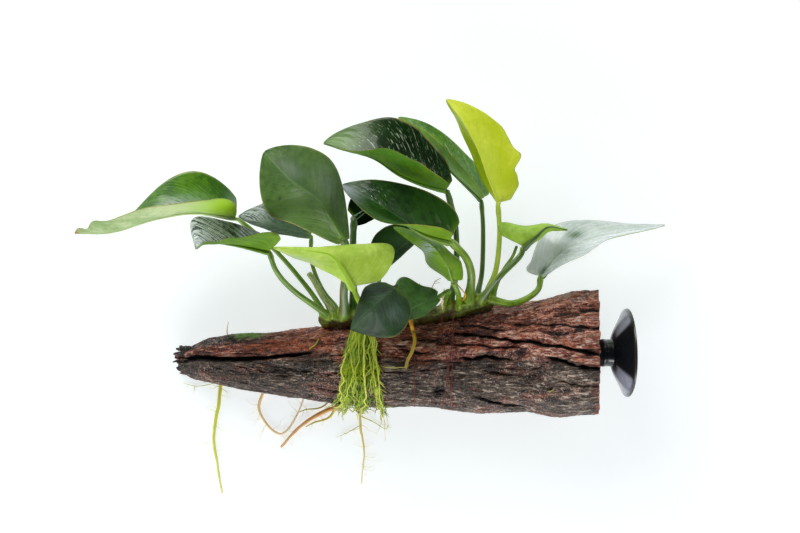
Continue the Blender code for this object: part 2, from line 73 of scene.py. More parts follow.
# Driftwood: where its long edges run, as seen from above, and its height beside its width
WOOD_TIP_X = -103.0
WOOD_SAWN_X = 89.5
WOOD_UPPER_EDGE = [
    (-103, -1.6), (-98, 1.9), (-90, 5.9), (-77, 8.4), (-63, 9.3), (-42, 11.5), (-24, 13),
    (5, 13.2), (25, 18), (34, 19.9), (47, 22.4), (62, 24.4), (72, 26.2), (80, 28.8), (89.5, 29),
]
WOOD_LOWER_EDGE = [
    (-103, -7.4), (-99, -11.3), (-88, -13.8), (-81, -15), (-63, -18.6), (-49, -20.1),
    (-28, -22.9), (3, -24.3), (18, -25), (34, -26.1), (47, -26.5), (57, -25.7), (64.5, -28), (72, -28.8),
    (80, -28), (89.5, -27),
]
WOOD_HEIGHT_SHARE = 0.96
WOOD_FLAT_SHARE = 0.86
WOOD_RINGS = 430
WOOD_UPPER_SIDES = 150
WOOD_LOWER_SIDES = 58
WOOD_LUMP = 1.3
WOOD_LUMP_PER_MM = 0.04
WOOD_LUMP_ROUND = 2.2
WOOD_END_RINGS = 14
GRAIN_RADIUS = 18.0
SAWN_LEAN = 2.4

# Deep cracks: points seen from above, depth and half width, or half widths at the two ends
CRACKS = [
    ([(-106, -4.6), (-91, -2), (-82, -2.5), (-70, -2.4), (-57, -1.1), (-46, 0), (-36, 1.5)], 8.0, 1.25, 0.4),
    ([(20, 10.6), (35, 8.9), (46, 7.4), (57, 6.3), (68, 4.5), (77, 3.2), (92, 0.8)], 3.6, 0.75),
    ([(23, -0.1), (32, -1.6), (38, -0.1), (46, -0.8), (54, -2.5)], 3.6, 0.9),
    ([(61, 1.0), (70, -1.4), (77, -3.6), (92, -5.6)], 3.6, 0.9),
    ([(29, -17.4), (47, -21.4), (63, -23.6)], 2.0, 0.8),
    ([(12, 4.5), (25, 5.2), (40, 3.8), (52, 3.9), (63, 2.6)], 2.0, 0.6),
    ([(34, -5.8), (46, -8.0), (58, -9.0)], 1.8, 0.7),
    ([(63, -8.5), (75, -11.8), (92, -12.6)], 1.5, 0.6),
    ([(44, 15.0), (55, 14.4), (70, 13.6), (92, 12.6)], 1.8, 0.6),
    ([(20, 13.0), (32, 13.4), (44, 12.0), (58, 11.2)], 1.6, 0.6),
    ([(-40, -14.5), (-28, -16.0), (-12, -17.5)], 1.2, 0.7),
    ([(-60, -9.6), (-50, -9.0), (-42, -9.6)], 1.2, 0.6),
    ([(-3, 3.0), (8, 1.2), (20, 1.9)], 2.2, 0.8),
    ([(-1, 7.0), (10, 6.6), (22, 7.8)], 1.6, 0.6),
    ([(60, 19.0), (74, 20.4), (92, 20.8)], 1.4, 0.6),
]
CRACK_WIDTH = 0.8

# Splinters of the tip: foot, end and radius; and pits: place, reach and depth
SPLINTER_STEPS = 8
SPLINTER_SIDES = 9
WOOD_SPLINTERS = [
    ((-97, -1.0, 6.5), (-104.6, -0.4, 6.6), 1.9), ((-97, 0.8, 5.4), (-103.8, 1.6, 5.6), 1.6),
    ((-98, -3.2, 6.6), (-105.8, -4.2, 6.0), 1.0), ((-97, 1.6, 7.0), (-102.2, 2.8, 7.6), 1.3),
    ((-97, -7.6, 5.2), (-103.6, -7.2, 5.0), 1.9), ((-97, -9.4, 4.2), (-102.4, -9.8, 3.8), 1.5),
]
WOOD_PITS = [(17.8, -15.5, 2.4, 2.2), (54.0, 2.0, 2.6, 1.6), (-76, 6.4, 2.0, 1.2)]

# Suction cup: distances along its axis from the sawn face, and radii
CUP_LEAN_DEG = 5.0
CUP_SEAT = (WOOD_SAWN_X + 0.3 + 6.4 * math.sin(math.radians(CUP_LEAN_DEG)), 0.9, 26.0)
CUP_SIDES = 120
CUP_PROFILE = [
    (-3.0, 0.0), (-3.0, 6.0), (0.4, 6.1), (0.6, 6.3), (1.5, 6.3), (1.7, 6.12), (3.0, 6.1),
    (4.2, 6.15), (5.0, 6.3), (5.2, 6.9), (5.6, 8.3), (6.5, 10.6), (7.9, 13.2), (9.5, 16.0), (10.7, 18.3),
    (11.3, 19.5), (11.8, 19.95), (12.2, 20.0), (12.4, 19.7), (12.38, 19.2), (12.0, 18.6), (11.0, 16.8),
    (9.6, 13.6), (8.4, 10.5), (7.4, 7.0), (6.9, 4.0), (6.7, 1.6), (6.7, 0.0),
]
CUP_OUTSIDE_ROWS = 18
CUP_SHARP_DEG = 50

# Creeping stem on the shoulder of the wood
STEM_FROM_X = -37.0
STEM_TO_X = 43.0
STEM_RADIUS = 3.9
STEM_SWELL = 0.07
STEM_SWELL_PER_MM = 1.15
STEM_REACH = STEM_RADIUS * (1.0 + STEM_SWELL)
STEM_SHOULDER_DEG = 30.0
STEM_CLEARANCE = 1.3
STEM_RINGS = 260
STEM_SIDES = 44
STEM_SEEN = 0.62
STEM_SHIFT = (0.0, 1.9, -2.2)
STEM_UNDERSIDE = (0.0, 0.42, 0.907)

# Leaf blades: the rib from base to tip, and the offsets from the rib to each margin at even steps
BLADE_THICKNESS = 0.46
BLADE_ROWS = 72
BLADE_HALF_COLUMNS = 22
BLADE_CUPPING = 1.2
BLADE_LOBE = 2.5
BLADE_ROUND_BASE = 0.5
BLADE_POINTED_TIP = 0.8
BLADE_LOBE_FROM = 0.04
VEINS = 9.0
VEIN_SWEEP = 0.40
BLADES = {
    "blade_01": dict(
        rib=[(-72.5, 61.5, 40), (-90, 63.5, 45), (-108, 60.5, 47), (-127, 55, 42), (-145, 54.5, 35)],
        left=[(3, 7, 14), (0, 4, 16), (0, 6, 15), (0, 10, 12)],
        right=[(2, 18.5, -3), (1, 18.5, -4), (1, 11, -9), (0, 5, -14)]),
    "blade_02": dict(
        rib=[(-57, 46.5, 50), (-72, 49.5, 50), (-86, 50.5, 40), (-92, 47.5, 26)],
        left=[(8, 7, 12), (1, 5, 14), (0, 0, 13), (0, -2, 12)],
        right=[(2, 9, -9), (0, 9, -9), (-7, 14, -10), (-10, 16, -8)]),
    "blade_03": dict(
        rib=[(-40, 54, 26), (-56, 58, 30), (-73, 62, 26)],
        left=[(0, -3, 6), (0, -3, 6)],
        right=[(2, 12, -8), (2, 12, -8)]),
    "blade_04": dict(
        rib=[(-24.5, 52, 54), (-35, 68, 61), (-46.5, 76.5, 64), (-58.5, 89, 60)],
        left=[(-3, -6, -3), (-12.5, -12.5, -6), (-16, -18, -6)],
        right=[(6, -2, -3), (11, 14, -4), (16, 20, -4)]),
    "blade_05": dict(
        rib=[(20.5, 73.5, 46), (11, 75.5, 50), (0, 79.5, 54), (-11, 86.5, 54), (-22, 90, 50), (-34, 94, 42)],
        left=[(1, 4, 12), (2.5, 6.5, 14), (3, 6.5, 14), (2, 0.5, 12), (0, -1, 10)],
        right=[(4, 8, -2), (10.5, 12.5, -3), (9.5, 19.5, -4), (8, 21, -4), (6, 22, -4)]),
    "blade_06": dict(
        rib=[(36.5, 70, 28), (30.5, 75.5, 32), (22, 83, 36), (11, 95, 36), (-1, 107, 28)],
        left=[(1, 2, 12), (3, 1.5, 14), (4, 3, 14), (3, 4, 13)],
        right=[(7, 6, -9), (8, 11, -10)]),
    "blade_07": dict(
        rib=[(21.5, 51, 56), (10.5, 54, 60), (0.5, 60, 62), (-12, 68, 62), (-25, 75, 58)],
        left=[(2, 7, 14), (0, 2, 14), (-4, -6.5, 13), (-6, -8, 12)],
        right=[(9, 17, -3), (4, 12, -8)]),
    "blade_08": dict(
        rib=[(23, 33.5, 48), (19.5, 42, 54), (13.5, 49.5, 53), (5, 53.5, 47), (-3, 57, 40)],
        left=[(10, 1, -7), (5, 1, -9), (1, 3, -9), (1, 4, -8)],
        right=[(-3, 0, -9), (-3.5, -2, -10), (-1, -4, -8), (-1, -3, -8)]),
    "blade_09": dict(
        rib=[(-8.5, 38, 36), (-2, 46, 32), (5.5, 52.5, 26), (11, 57, 20)],
        left=[(-9, 9, -4), (-8, 8, -6)],
        right=[(2.5, -1, 8), (3, -3, 8)]),
    "blade_10": dict(
        rib=[(-20, 31.5, 66), (-24.5, 39, 70), (-29.5, 44.5, 72), (-41, 46.5, 72), (-54, 48, 66)],
        left=[(24, 4, -2), (23, 12, -4), (9.5, 7, -9), (2, 3, -11), (0, 1.5, -11), (0, 1, -10)],
        right=[(-2, 0, -4), (-8, -4, -8), (-5, -4, -12)]),
    "blade_11": dict(
        rib=[(-1.5, 31, 56), (-6.5, 26.5, 66), (-12, 21.5, 70), (-21, 13, 63)],
        left=[(9, -9, -8), (12, -13, -10)],
        right=[(-11, 4, -8), (-5, 4, -12)]),
    "blade_12": dict(
        rib=[(16.5, 26, 42), (10, 23.5, 46), (4, 20.5, 48), (-1, 17, 47)],
        left=[(1, -3, 6), (2.5, -4, 7), (3, -5, 7)],
        right=[(-1, 5, -4), (-3, 11, -5), (-6, 10, -6)]),
    "blade_13": dict(
        rib=[(43.5, 68, 36), (39, 78, 39), (34.5, 90.5, 41), (28, 103, 41), (20.5, 114, 37)],
        left=[(-1, 1, -9), (-3, 0, -10), (-3, -1, -12)],
        right=[(12, 4, -4), (15, 5, -4), (15, 8, -4)]),
    "blade_14": dict(
        rib=[(54.5, 48.5, 42), (59.5, 53, 46), (65, 57, 46), (74, 56, 40)],
        left=[(1, -1, -12), (1.5, -1.5, -12), (1, -2, -10)],
        right=[(-19, 12, -2), (-13, 8.5, -8), (-6, 3, -13), (-2, 1.5, -14), (0, 1.5, -12)]),
    "blade_15": dict(
        rib=[(63, 35.5, 30), (72, 46, 36), (85.5, 52.5, 36), (102, 55.5, 30), (120.5, 58.5, 22)],
        left=[(-10, 2, -10), (-7, 10, -10), (1, 6.5, -10), (0, 4, -12)],
        right=[(0, -1, 12), (3.5, -4, 13), (0, -1.5, 13), (0, -2, 12)]),
    "blade_16": dict(
        rib=[(-20.5, 61, 34), (-12.5, 66, 32), (-1, 68.5, 26)],
        left=[(-4, 10, -10), (-4, 10, -10)],
        right=[(2, -4, -8), (2, -4, -8)]),
}

# Bulges and notches of a margin: side, place along the blade, share of the half width, reach
BLADE_NICKS = {
    "blade_01": [("left", 0.07, 0.75, 0.09), ("left", 0.84, 0.35, 0.05), ("left", 0.905, -0.40, 0.025),
                 ("left", 0.975, 0.60, 0.025),
                 ("right", 0.81, -0.80, 0.18), ("right", 0.98, -0.3, 0.04)],
    "blade_02": [("left", 0.55, -0.62, 0.20), ("left", 0.90, -0.95, 0.30), ("left", 0.28, -0.30, 0.10),
                 ("left", 0.06, 0.75, 0.12)],
    "blade_05": [("left", 0.30, 0.06, 0.05), ("right", 0.45, 0.04, 0.05)],
    "blade_08": [("left", 0.25, 0.10, 0.05), ("left", 0.36, -0.06, 0.04), ("right", 0.28, 0.8, 0.26)],
    "blade_11": [("left", 0.80, 0.25, 0.25)],
    "blade_12": [("right", 0.78, 0.60, 0.28), ("right", 0.28, -0.20, 0.16)],
    "blade_13": [("right", 0.14, 0.12, 0.05), ("right", 0.285, -0.10, 0.03), ("right", 0.38, 0.18, 0.05),
                 ("right", 0.62, 0.04, 0.06)],
    "blade_15": [("left", 0.05, 0.35, 0.035)],
}

# Colours of each blade: upper face dark and light, underside dark and light, then roughness,
# gloss and wet film, and patches: face, place along and across, their reach, colour, strength
# and how streaky they are. Most patches are painted reflections and sheen; the dark ones, the
# saturated green ones and those at the tips are the leaf's own colour.
BLADE_LOOKS = {
    "blade_01": dict(
        upper=[(60, 112, 12), (104, 160, 24)], under=[(140, 168, 104), (188, 204, 152)], rough=0.34, wet=0.5,
        # Painted light: the pale rib tint lifts the midrib, which lies in shade
        rim=0.6, rib_tint=(216, 234, 176),
        patches=[("upper", 0.42, 0.22, 0.24, 0.24, (156, 172, 164), 0.85, 0.2),
                 ("upper", 0.03, 0.55, 0.05, 0.5, (150, 160, 160), 0.8, 0.0),
                 ("under", 0.05, -0.6, 0.20, 0.8, (160, 208, 22), 1.0, 0.0),
                 ("upper", 1.0, 0.0, 0.03, 2.0, (196, 96, 56), 0.9, 0.0),
                 ("under", 1.0, 0.0, 0.03, 2.0, (196, 96, 56), 0.9, 0.0)]),
    "blade_02": dict(
        upper=[(8, 40, 4), (34, 82, 16)], under=[(72, 118, 2), (104, 146, 8)], rough=0.30, wet=0.7, gloss=0.2,
        woven=0.4,
        patches=[("upper", 0.76, 0.55, 0.44, 0.75, (226, 238, 228), 1.0, 0.6),
                 ("upper", 0.80, 0.15, 0.30, 0.12, (206, 216, 214), 0.9, 0.2),
                 ("upper", 0.99, 0.0, 0.05, 2.0, (96, 140, 60), 0.9, 0.0)]),
    "blade_03": dict(
        upper=[(12, 42, 8), (38, 78, 26)], under=[(84, 124, 30), (110, 150, 50)],
        rough=0.30, wet=0.6, gloss=0.15, woven=0.3,
        patches=[("upper", 0.92, 0.5, 0.24, 0.7, (208, 218, 216), 0.9, 0.5)]),
    "blade_04": dict(
        upper=[(62, 98, 30), (92, 130, 56)], under=[(92, 136, 40), (124, 164, 66)],
        rough=0.42, wet=0.12, gloss=0.4, rim=0.7, woven=0.04, rib=0.7,
        patches=[("upper", 0.35, 0.6, 0.25, 0.35, (108, 130, 104), 0.6, 0.0),
                 ("upper", 0.72, 0.22, 0.12, 0.20, (122, 142, 122), 0.55, 0.0),
                 ("upper", 0.20, -0.45, 0.10, 0.35, (118, 142, 92), 0.5, 0.3),
                 ("upper", 0.63, -0.55, 0.012, 0.05, (20, 40, 12), 0.9, 0.0)]),
    "blade_05": dict(
        upper=[(6, 30, 4), (24, 60, 14)], under=[(76, 132, 4), (114, 166, 10)],
        rough=0.34, wet=0.7, gloss=0.12, woven=0.15,
        patches=[("upper", 0.93, 0.4, 0.18, 0.9, (138, 172, 110), 0.85, 0.0),
                 ("upper", 0.55, 0.40, 0.26, 0.5, (196, 216, 178), 1.0, 1.5),
                 ("upper", 0.18, 0.45, 0.20, 0.7, (144, 170, 128), 0.8, 1.2)]),
    "blade_06": dict(
        upper=[(46, 96, 16), (96, 146, 42)], under=[(76, 126, 18), (110, 156, 40)],
        rough=0.32, wet=0.6, gloss=0.2,
        patches=[("upper", 0.60, 0.55, 0.30, 0.4, (200, 216, 196), 0.95, 1.1)]),
    "blade_07": dict(
        upper=[(12, 48, 2), (36, 80, 8)], under=[(84, 126, 2), (112, 150, 10)],
        rough=0.36, wet=0.6, gloss=0.15, woven=0.1,
        patches=[("upper", 0.97, -0.3, 0.11, 0.8, (162, 168, 174), 0.85, 0.0),
                 ("upper", 0.76, 0.35, 0.10, 0.3, (226, 236, 226), 1.0, 1.4),
                 ("upper", 0.45, -0.75, 0.35, 0.28, (86, 122, 66), 0.6, 0.0)]),
    "blade_08": dict(
        upper=[(34, 74, 18), (62, 104, 36)], under=[(92, 138, 12), (128, 170, 34)],
        rough=0.30, wet=0.4, rib=0.55,
        patches=[("under", 0.50, 0.3, 0.09, 0.8, (188, 198, 214), 0.85, 0.6)]),
    "blade_09": dict(
        upper=[(12, 40, 8), (36, 72, 22)], under=[(84, 132, 22), (110, 154, 44)],
        rough=0.45, wet=0.0, gloss=0.12), "blade_10": dict(
        upper=[(40, 84, 24), (70, 112, 44)], under=[(158, 192, 58), (190, 216, 94)],
        rough=0.34, wet=0.3, rib=1.5, rib_tint=(160, 200, 40),
        patches=[("under", 0.72, 0.85, 0.26, 0.35, (156, 168, 160), 0.8, 0.2)]),
    "blade_11": dict(
        upper=[(16, 46, 12), (36, 74, 26)], under=[(80, 124, 34), (108, 150, 54)],
        rough=0.42, wet=0.1, gloss=0.25, rib_line=0.1, woven=0.1, rib=0.5,
        patches=[("upper", 0.40, -0.50, 0.22, 0.28, (84, 108, 94), 0.7, 0.1)]),
    "blade_12": dict(
        upper=[(60, 102, 40), (94, 140, 68)], under=[(84, 130, 34), (112, 154, 54)],
        rough=0.40, wet=0.2, gloss=0.35, woven=0.1, rib=0.5),
    "blade_13": dict(
        upper=[(200, 220, 20), (222, 236, 60)], under=[(186, 208, 34), (212, 226, 66)], rough=0.42, wet=0.15,
        woven=0.12, gloss=0.4,
        patches=[("upper", 0.5, -0.6, 0.5, 0.35, (160, 192, 14), 0.5, 0.3)]),
    "blade_14": dict(
        upper=[(60, 108, 28), (90, 136, 48)], under=[(122, 162, 38), (152, 188, 64)],
        rough=0.34, wet=0.3, rib=1.2, rib_tint=(48, 82, 22)),
    "blade_15": dict(
        # Painted reflection: the pale grey upper face stands in for glare on the wet leaf
        upper=[(176, 194, 182), (224, 231, 232)], under=[(100, 144, 40), (134, 172, 66)], rough=0.18, wet=1.0,
        woven=0.5,
        patches=[("upper", 0.17, -0.55, 0.20, 0.5, (226, 234, 236), 0.85, 0.0),
                 ("upper", 0.05, -0.10, 0.06, 0.25, (44, 84, 28), 0.9, 0.0),
                 ("upper", 0.41, -0.40, 0.06, 0.22, (44, 92, 20), 1.0, 0.0),
                 ("upper", 0.30, 0.25, 0.14, 0.40, (96, 118, 106), 0.75, 0.5),
                 ("upper", 0.72, -0.5, 0.24, 0.35, (160, 182, 152), 0.7, 0.3),
                 ("upper", 0.70, 0.0, 0.40, 0.08, (90, 130, 60), 0.7, 0.2)]),
    "blade_16": dict(
        # Painted shade: the near black faces stand in for the shade under the other leaves
        upper=[(4, 16, 4), (9, 30, 9)], under=[(30, 70, 12), (50, 92, 24)], rough=0.6, wet=0.0, gloss=0.0,
        rim=0.1, rib_line=0.1),
}

# Leaf stalks: place on the creeping stem, angle round it (0 away from the wood, 90 up), the
# points passed on the way to the blade, and the radius
STALK_SIDES = 20
STALK_STEPS = 64
STALK_RISE = 5.1
MIDRIB_TIP = 0.16
# Sheaths round a foot: share of the stalk, and how far aside and how wide beside its radius
STALK_SHEATHS = [(0.30, 0.75, 1.30), (0.19, 0.85, 1.05)]
STALKS = {
    "stalk_01": dict(x=-34.5, turn=-20, via=[(-42, 30.5, 25), (-56, 47, 29)], radius=1.15),
    "stalk_02": dict(x=-32.5, turn=60, via=[(-47, 29, 38), (-54, 37.5, 46)], radius=1.3),
    "stalk_03": dict(x=-27.5, turn=-30, via=[(-35.5, 30, 22), (-40, 42, 23)], radius=1.0),
    "stalk_04": dict(x=-25.0, turn=50, via=[(-25, 29.5, 34), (-23, 43.5, 42)], radius=1.9),
    "stalk_05": dict(x=22.5, turn=0, via=[(25, 38, 34), (24.5, 58, 40)], radius=1.4),
    "stalk_06": dict(x=34.5, turn=-35, via=[(37, 38, 26), (37.5, 56.5, 25)], radius=1.15),
    "stalk_07": dict(x=31.0, turn=30, via=[(31.6, 36, 37.6), (28.8, 43.8, 45.0)], radius=1.9),
    "stalk_08": dict(x=26.5, turn=65, via=[(25.5, 28, 43)], radius=1.3),
    "stalk_09": dict(x=-12.0, turn=0, via=[(-10, 29.5, 32)], radius=1.0),
    "stalk_10": dict(x=-17.0, turn=70, via=[(-16.5, 22, 44), (-18.5, 26.5, 55)], radius=1.4),
    "stalk_11": dict(x=-8.0, turn=60, via=[(-7, 24, 43), (-3.5, 29, 50)], radius=1.3),
    "stalk_12": dict(x=19.5, turn=30, via=[(21.5, 29, 39)], radius=1.1),
    "stalk_13": dict(x=38.5, turn=-5, via=[(43, 39, 32), (44.5, 54, 32)], radius=1.25),
    "stalk_14": dict(x=36.5, turn=50, via=[(44.5, 36, 42), (52.5, 44, 42)], radius=1.4),
    "stalk_15": dict(x=39.6, turn=0, via=[(49.2, 23.3, 33.6), (56.7, 25.6, 33), (61.9, 29.8, 31)], radius=1.5,
                     rise=1.0),
    "stalk_16": dict(x=-21.0, turn=-20, via=[(-21, 35, 28), (-21, 50, 31)], radius=1.7),
}
BARE_STALKS = {
    "old_stalk": dict(x=-30.0, turn=20, via=[(-35, 27, 28), (-38.5, 33.5, 30)], radius=1.5, end=(-41, 37, 31)),
    "young_stalk": dict(x=41.5, turn=-15, via=[(46, 38, 33), (50, 44, 34)], radius=0.8, end=(52, 49, 35)),
}

# Colours of each stalk: its dark side, its light side and the red of its shaded edge
STALK_LOOK = dict(dark=(64, 104, 20), light=(132, 172, 50), edge=(96, 76, 34))
STALK_LOOKS = {
    "stalk_02": dict(dark=(68, 110, 24), light=(132, 172, 56), edge=(80, 100, 30)),
    "stalk_04": dict(dark=(54, 84, 26), light=(104, 136, 60), edge=(128, 74, 46)),
    "stalk_05": dict(dark=(46, 80, 24), light=(92, 128, 48), edge=(104, 72, 40)),
    "stalk_06": dict(dark=(58, 96, 28), light=(100, 138, 50), edge=(128, 74, 44)),
    "stalk_07": dict(dark=(88, 124, 24), light=(134, 168, 44), edge=(120, 140, 40)),
    "stalk_10": dict(dark=(122, 166, 20), light=(170, 202, 58), edge=(130, 166, 30)),
    "stalk_13": dict(dark=(156, 188, 48), light=(206, 224, 84), edge=(128, 164, 50)),
    "stalk_08": dict(dark=(84, 124, 14), light=(124, 164, 34), edge=(96, 130, 30)),
    "stalk_11": dict(dark=(40, 70, 22), light=(76, 112, 44), edge=(60, 80, 30)),
    "stalk_14": dict(dark=(36, 66, 18), light=(92, 128, 46), edge=(150, 172, 70)),
    "stalk_15": dict(dark=(92, 136, 24), light=(158, 196, 54), edge=(96, 124, 40)),
    "stalk_16": dict(dark=(38, 70, 22), light=(72, 108, 40), edge=(60, 70, 30)),
    "old_stalk": dict(dark=(110, 136, 64), light=(172, 186, 116), edge=(150, 140, 80)),
}

# Loose roots: their points, the number and reach of their rootlets, radius and colours
ROOT_STEPS = 60
ROOT_SIDES = 10
BRANCH_STEPS = 30
ROOTLET_STEPS = 12
ROOTS = {
    "root_far_left": dict(
        route=[(-80.5, -6, 3.5), (-83.5, -12.8, 1.6), (-84.5, -24, 1.1), (-87, -40, 1.1), (-85, -54, 1.1),
               (-83, -66, 1.1)],
        rootlets=(13, 8.0), radius=0.85, colours=[(212, 208, 110), (204, 212, 80), (236, 234, 150)]),
    "root_loop": dict(
        route=[(-62, -12, 4), (-62.5, -16.5, 2.6), (-66, -26, 1.0), (-61, -35.0, 1.0), (-55.2, -38.2, 1.0),
               (-48.6, -30, 1.0), (-44, -18.5, 2.6), (-43.5, -13, 4)],
        rootlets=(16, 9.0), radius=0.65, colours=[(226, 192, 128), (246, 220, 176), (248, 234, 208)]),
    "root_tan": dict(
        route=[(-26, -18, 6), (-27.4, -21.5, 4.5), (-30, -25.6, 3.2), (-38, -29.2, 2.4), (-47.2, -35.4, 1.6),
               (-55.6, -44.4, 1.3)],
        rootlets=(9, 5.0), radius=1.1, colours=[(198, 160, 70), (218, 158, 92), (214, 172, 132)]),
    "root_pale": dict(
        route=[(-20, -22, 4), (-19, -26, 2.5), (-18, -38, 0.9), (-17, -48, 0.9), (-18, -62, 0.9)],
        rootlets=(14, 9.0), radius=0.6, colours=[(206, 190, 110), (236, 220, 140), (246, 236, 180)]),
}
BRANCH_ROOTS = {
    "root_tan": [
        ([(-26, -13, 6), (-28.5, -17.5, 4.0), (-36, -25.5, 1.2), (-44, -27, 0.9), (-47.5, -28.5, 0.9)], 0.55),
        ([(-29, -24, 4.0), (-33, -30.5, 1.4), (-40, -33, 1.2), (-44, -35, 1.4)], 0.7),
    ],
    "root_far_left": [([(-82, -13, 2.0), (-90, -15.5, 0.7), (-96, -16, 0.5), (-101, -14.5, 0.4)], 0.24)],
    "root_pale": [([(-18.5, -30, 1.4), (-12, -33, 0.6), (-7, -36, 0.5), (-5, -34, 0.4)], 0.3),
                  ([(-18, -34, 1.0), (-25, -38, 0.6), (-30, -40, 0.4)], 0.26)],
}
ORANGE_ROOT_PATH = [(6, 9.5), (6.6, 6), (5.5, 2), (3.5, -2), (2.5, -5.5)]
ORANGE_ROOT_RADIUS = 0.8
ORANGE_ROOT_COLOURS = [(204, 138, 30), (216, 170, 46), (190, 160, 76)]

# Fine rootlets: their points (those without a height lie on the wood), radius and shade
FINE_ROOTS = [
    ([(-41, 2.8), (-38, 4.6), (-36, 7.4), (-34.2, 8.5)], 0.30, 0.2),
    ([(-12.6, 0.6), (-8.7, -4.2), (-3.5, -5.4), (1.3, -5.1), (5.2, -3.8)], 0.28, 0.2),
    ([(-79.4, 7.0, 10), (-79.6, 10.5, 10.4), (-79.0, 14.4, 9.6)], 0.30, 0.75),
    ([(27.5, 24, 31), (28.7, 27.2, 41), (26, 31, 43), (24.6, 33.4, 42)], 0.40, 0.5),
    ([(12.8, 20.5, 27), (12.6, 28, 29.5), (11.2, 28.6, 30), (9.6, 30, 30.5), (9, 32.4, 30)], 0.24, 0.0),
    ([(12.8, 20.5, 27), (13, 26, 28), (14, 28.2, 29.5), (14.6, 31, 30.5), (16, 33.5, 30.5), (18.3, 34.7, 30)],
     0.26, 0.0),
    ([(18.9, 21, 30), (18.8, 24, 37), (19.2, 27, 39), (19.5, 30, 38)], 0.50, 0.9),
    ([(-21.8, 5.6), (-20.4, 8.0), (-18.6, 7.6), (-17.4, 9.0)], 0.30, 0.0),
    ([(64.0, -15.4), (66.3, -14.6), (68.4, -13.4)], 0.20, 0.2),
]

# Root clump: tufts of fibres given by the x where they leave the stem, the x of their ends,
# how far the ends spread, how far they reach past the wood's edge, and how many there are
CLUMP_FROM_DEG = 33.0
CLUMP_TO_DEG = 170.0
CLUMP_HANGS_FROM = 0.86
CLUMP_TUFTS = [
    dict(top=-18.2, spread=2.2, foot=-26.3, fan=4.4, past=7.0, opening=0.62, count=38, sway=1.0, reach=None),
    dict(top=-16.0, spread=2.2, foot=-18.8, fan=3.0, past=5.5, opening=1.0, count=24, sway=1.0, reach=None),
    dict(top=-13.4, spread=1.4, foot=-8.4, fan=1.8, past=8.0, opening=0.9, count=15, sway=0.8, reach=None),
    dict(top=-12.6, spread=0.4, foot=-6.6, fan=0.4, past=15.5, opening=0.9, count=2, sway=0.2,
         reach=(0.98, 1.0)),
]
CLUMP_STEPS = 40
CLUMP_SIDES = 7
HAIR_STEPS = 5
CLUMP_RADIUS = 0.40

# Tying thread: the places along the wood where it goes over and round
THREAD_RADIUS = 0.15
THREAD_TURNS = [(-8.5, -8.8), (6.0, 6.6), (18.0, 24.0), (24.5, 19.0), (24.0, 22.5)]
THREAD_STEPS = 150
THREAD_SIDES = 6
THREAD_COLOURS = [(112, 38, 34), (128, 48, 42), (114, 42, 36)]


def linear(colour):
    """Screen colour from 0 to 255 as the linear colour that a shader takes."""
    parts = [c / 255 for c in colour]
    return tuple(p / 12.92 if p <= 0.04045 else ((p + 0.055) / 1.055) ** 2.4 for p in parts) + (1.0,)


def ease(low, high, value):
    """0 below low, 1 above high, and smooth between."""
    share = min(max((value - low) / (high - low), 0.0), 1.0)
    return share * share * (3 - 2 * share)


def hill(away, power=2):
    """1 where away is 0, falling off on both sides."""
    return math.exp(-abs(away) ** power)


def rough(*place):
    """Smooth noise from about -1 to 1 at a place of three numbers."""
    return noise.noise(Vector(place))


def outward(angle):
    """Direction across the wood, angle 0 towards the leaves and 90 degrees up."""
    return Vector((0.0, math.cos(angle), math.sin(angle)))


def along(points, t):
    """Point on a smooth curve through the points, t from 0 to 1."""
    knots = [Vector(p) for p in points]
    knots = [2 * knots[0] - knots[1], *knots, 2 * knots[-1] - knots[-2]]
    place = min(max(t, 0.0), 1.0) * (len(points) - 1)
    start = min(int(place), len(points) - 2)
    f = place - start
    a, b, c, d = knots[start:start + 4]
    bend = (2 * a - 5 * b + 4 * c - d) * f * f + (3 * b - a - 3 * c + d) * f ** 3
    return 0.5 * (2 * b + (c - a) * f + bend)


def across(table, x):
    """Second column of a table read at x, straight between its rows."""
    for (x0, y0), (x1, y1) in zip(table, table[1:]):
        if x <= x1:
            return y0 + (y1 - y0) * max(x - x0, 0.0) / (x1 - x0)
    return table[-1][1]


def rounded(table, x):
    """The table read at x with its corners rounded off."""
    return sum(across(table, x + step) for step in (-3, -1, 1, 3)) / 4


# Meshes

def add_piece(name, points, faces, materials, values=None, kinds=None, replaces=True):
    """Mesh piece that rides on the part, in place of the node that it is named after.

    The values are named numbers for each point, and the kinds say which material each face has.
    """
    mesh = bpy.data.meshes.new(name)
    mesh.from_pydata([tuple(Vector(p) * MM) for p in points], [], faces)
    for material in materials:
        mesh.materials.append(material)
    if kinds:
        mesh.polygons.foreach_set("material_index", kinds)
    for key, numbers in (values or {}).items():
        mesh.attributes.new(key, "FLOAT", "POINT").data.foreach_set("value", numbers)
    mesh.shade_smooth()
    piece = add_object("seen_" + name, mesh)
    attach(piece, BODY)
    if replaces:
        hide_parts(name)
    return piece


def add_object(name, data):
    made = bpy.data.objects.new(name, data)
    bpy.context.scene.collection.objects.link(made)
    return made


def skin_faces(rings, sides, first=0):
    """Faces of a skin round rings of points that follow each other, open at both ends."""
    faces = []
    for a in range(first, first + (rings - 1) * sides, sides):
        for k in range(sides):
            n = (k + 1) % sides
            faces.append((a + k, a + n, a + sides + n, a + sides + k))
    return faces


def closed_skin(rings, sides, first=0):
    """The same, with a lid on each end."""
    last = first + (rings - 1) * sides
    lids = [tuple(reversed(range(first, first + sides))), tuple(range(last, last + sides))]
    return skin_faces(rings, sides, first) + lids


def tube(path, radii, sides, first=0):
    """Points and faces of a closed tube along the path."""
    points = []
    side = None
    for i, here in enumerate(path):
        run = (path[min(i + 1, len(path) - 1)] - path[max(i - 1, 0)]).normalized()
        if side is None:
            side = run.orthogonal().normalized()
        side = (side - run * side.dot(run)).normalized()
        lift = run.cross(side)
        for k in range(sides):
            turn = 2 * math.pi * k / sides
            points.append(here + (side * math.cos(turn) + lift * math.sin(turn)) * radii[i])
    return points, closed_skin(len(path), sides, first)


# Shader nodes

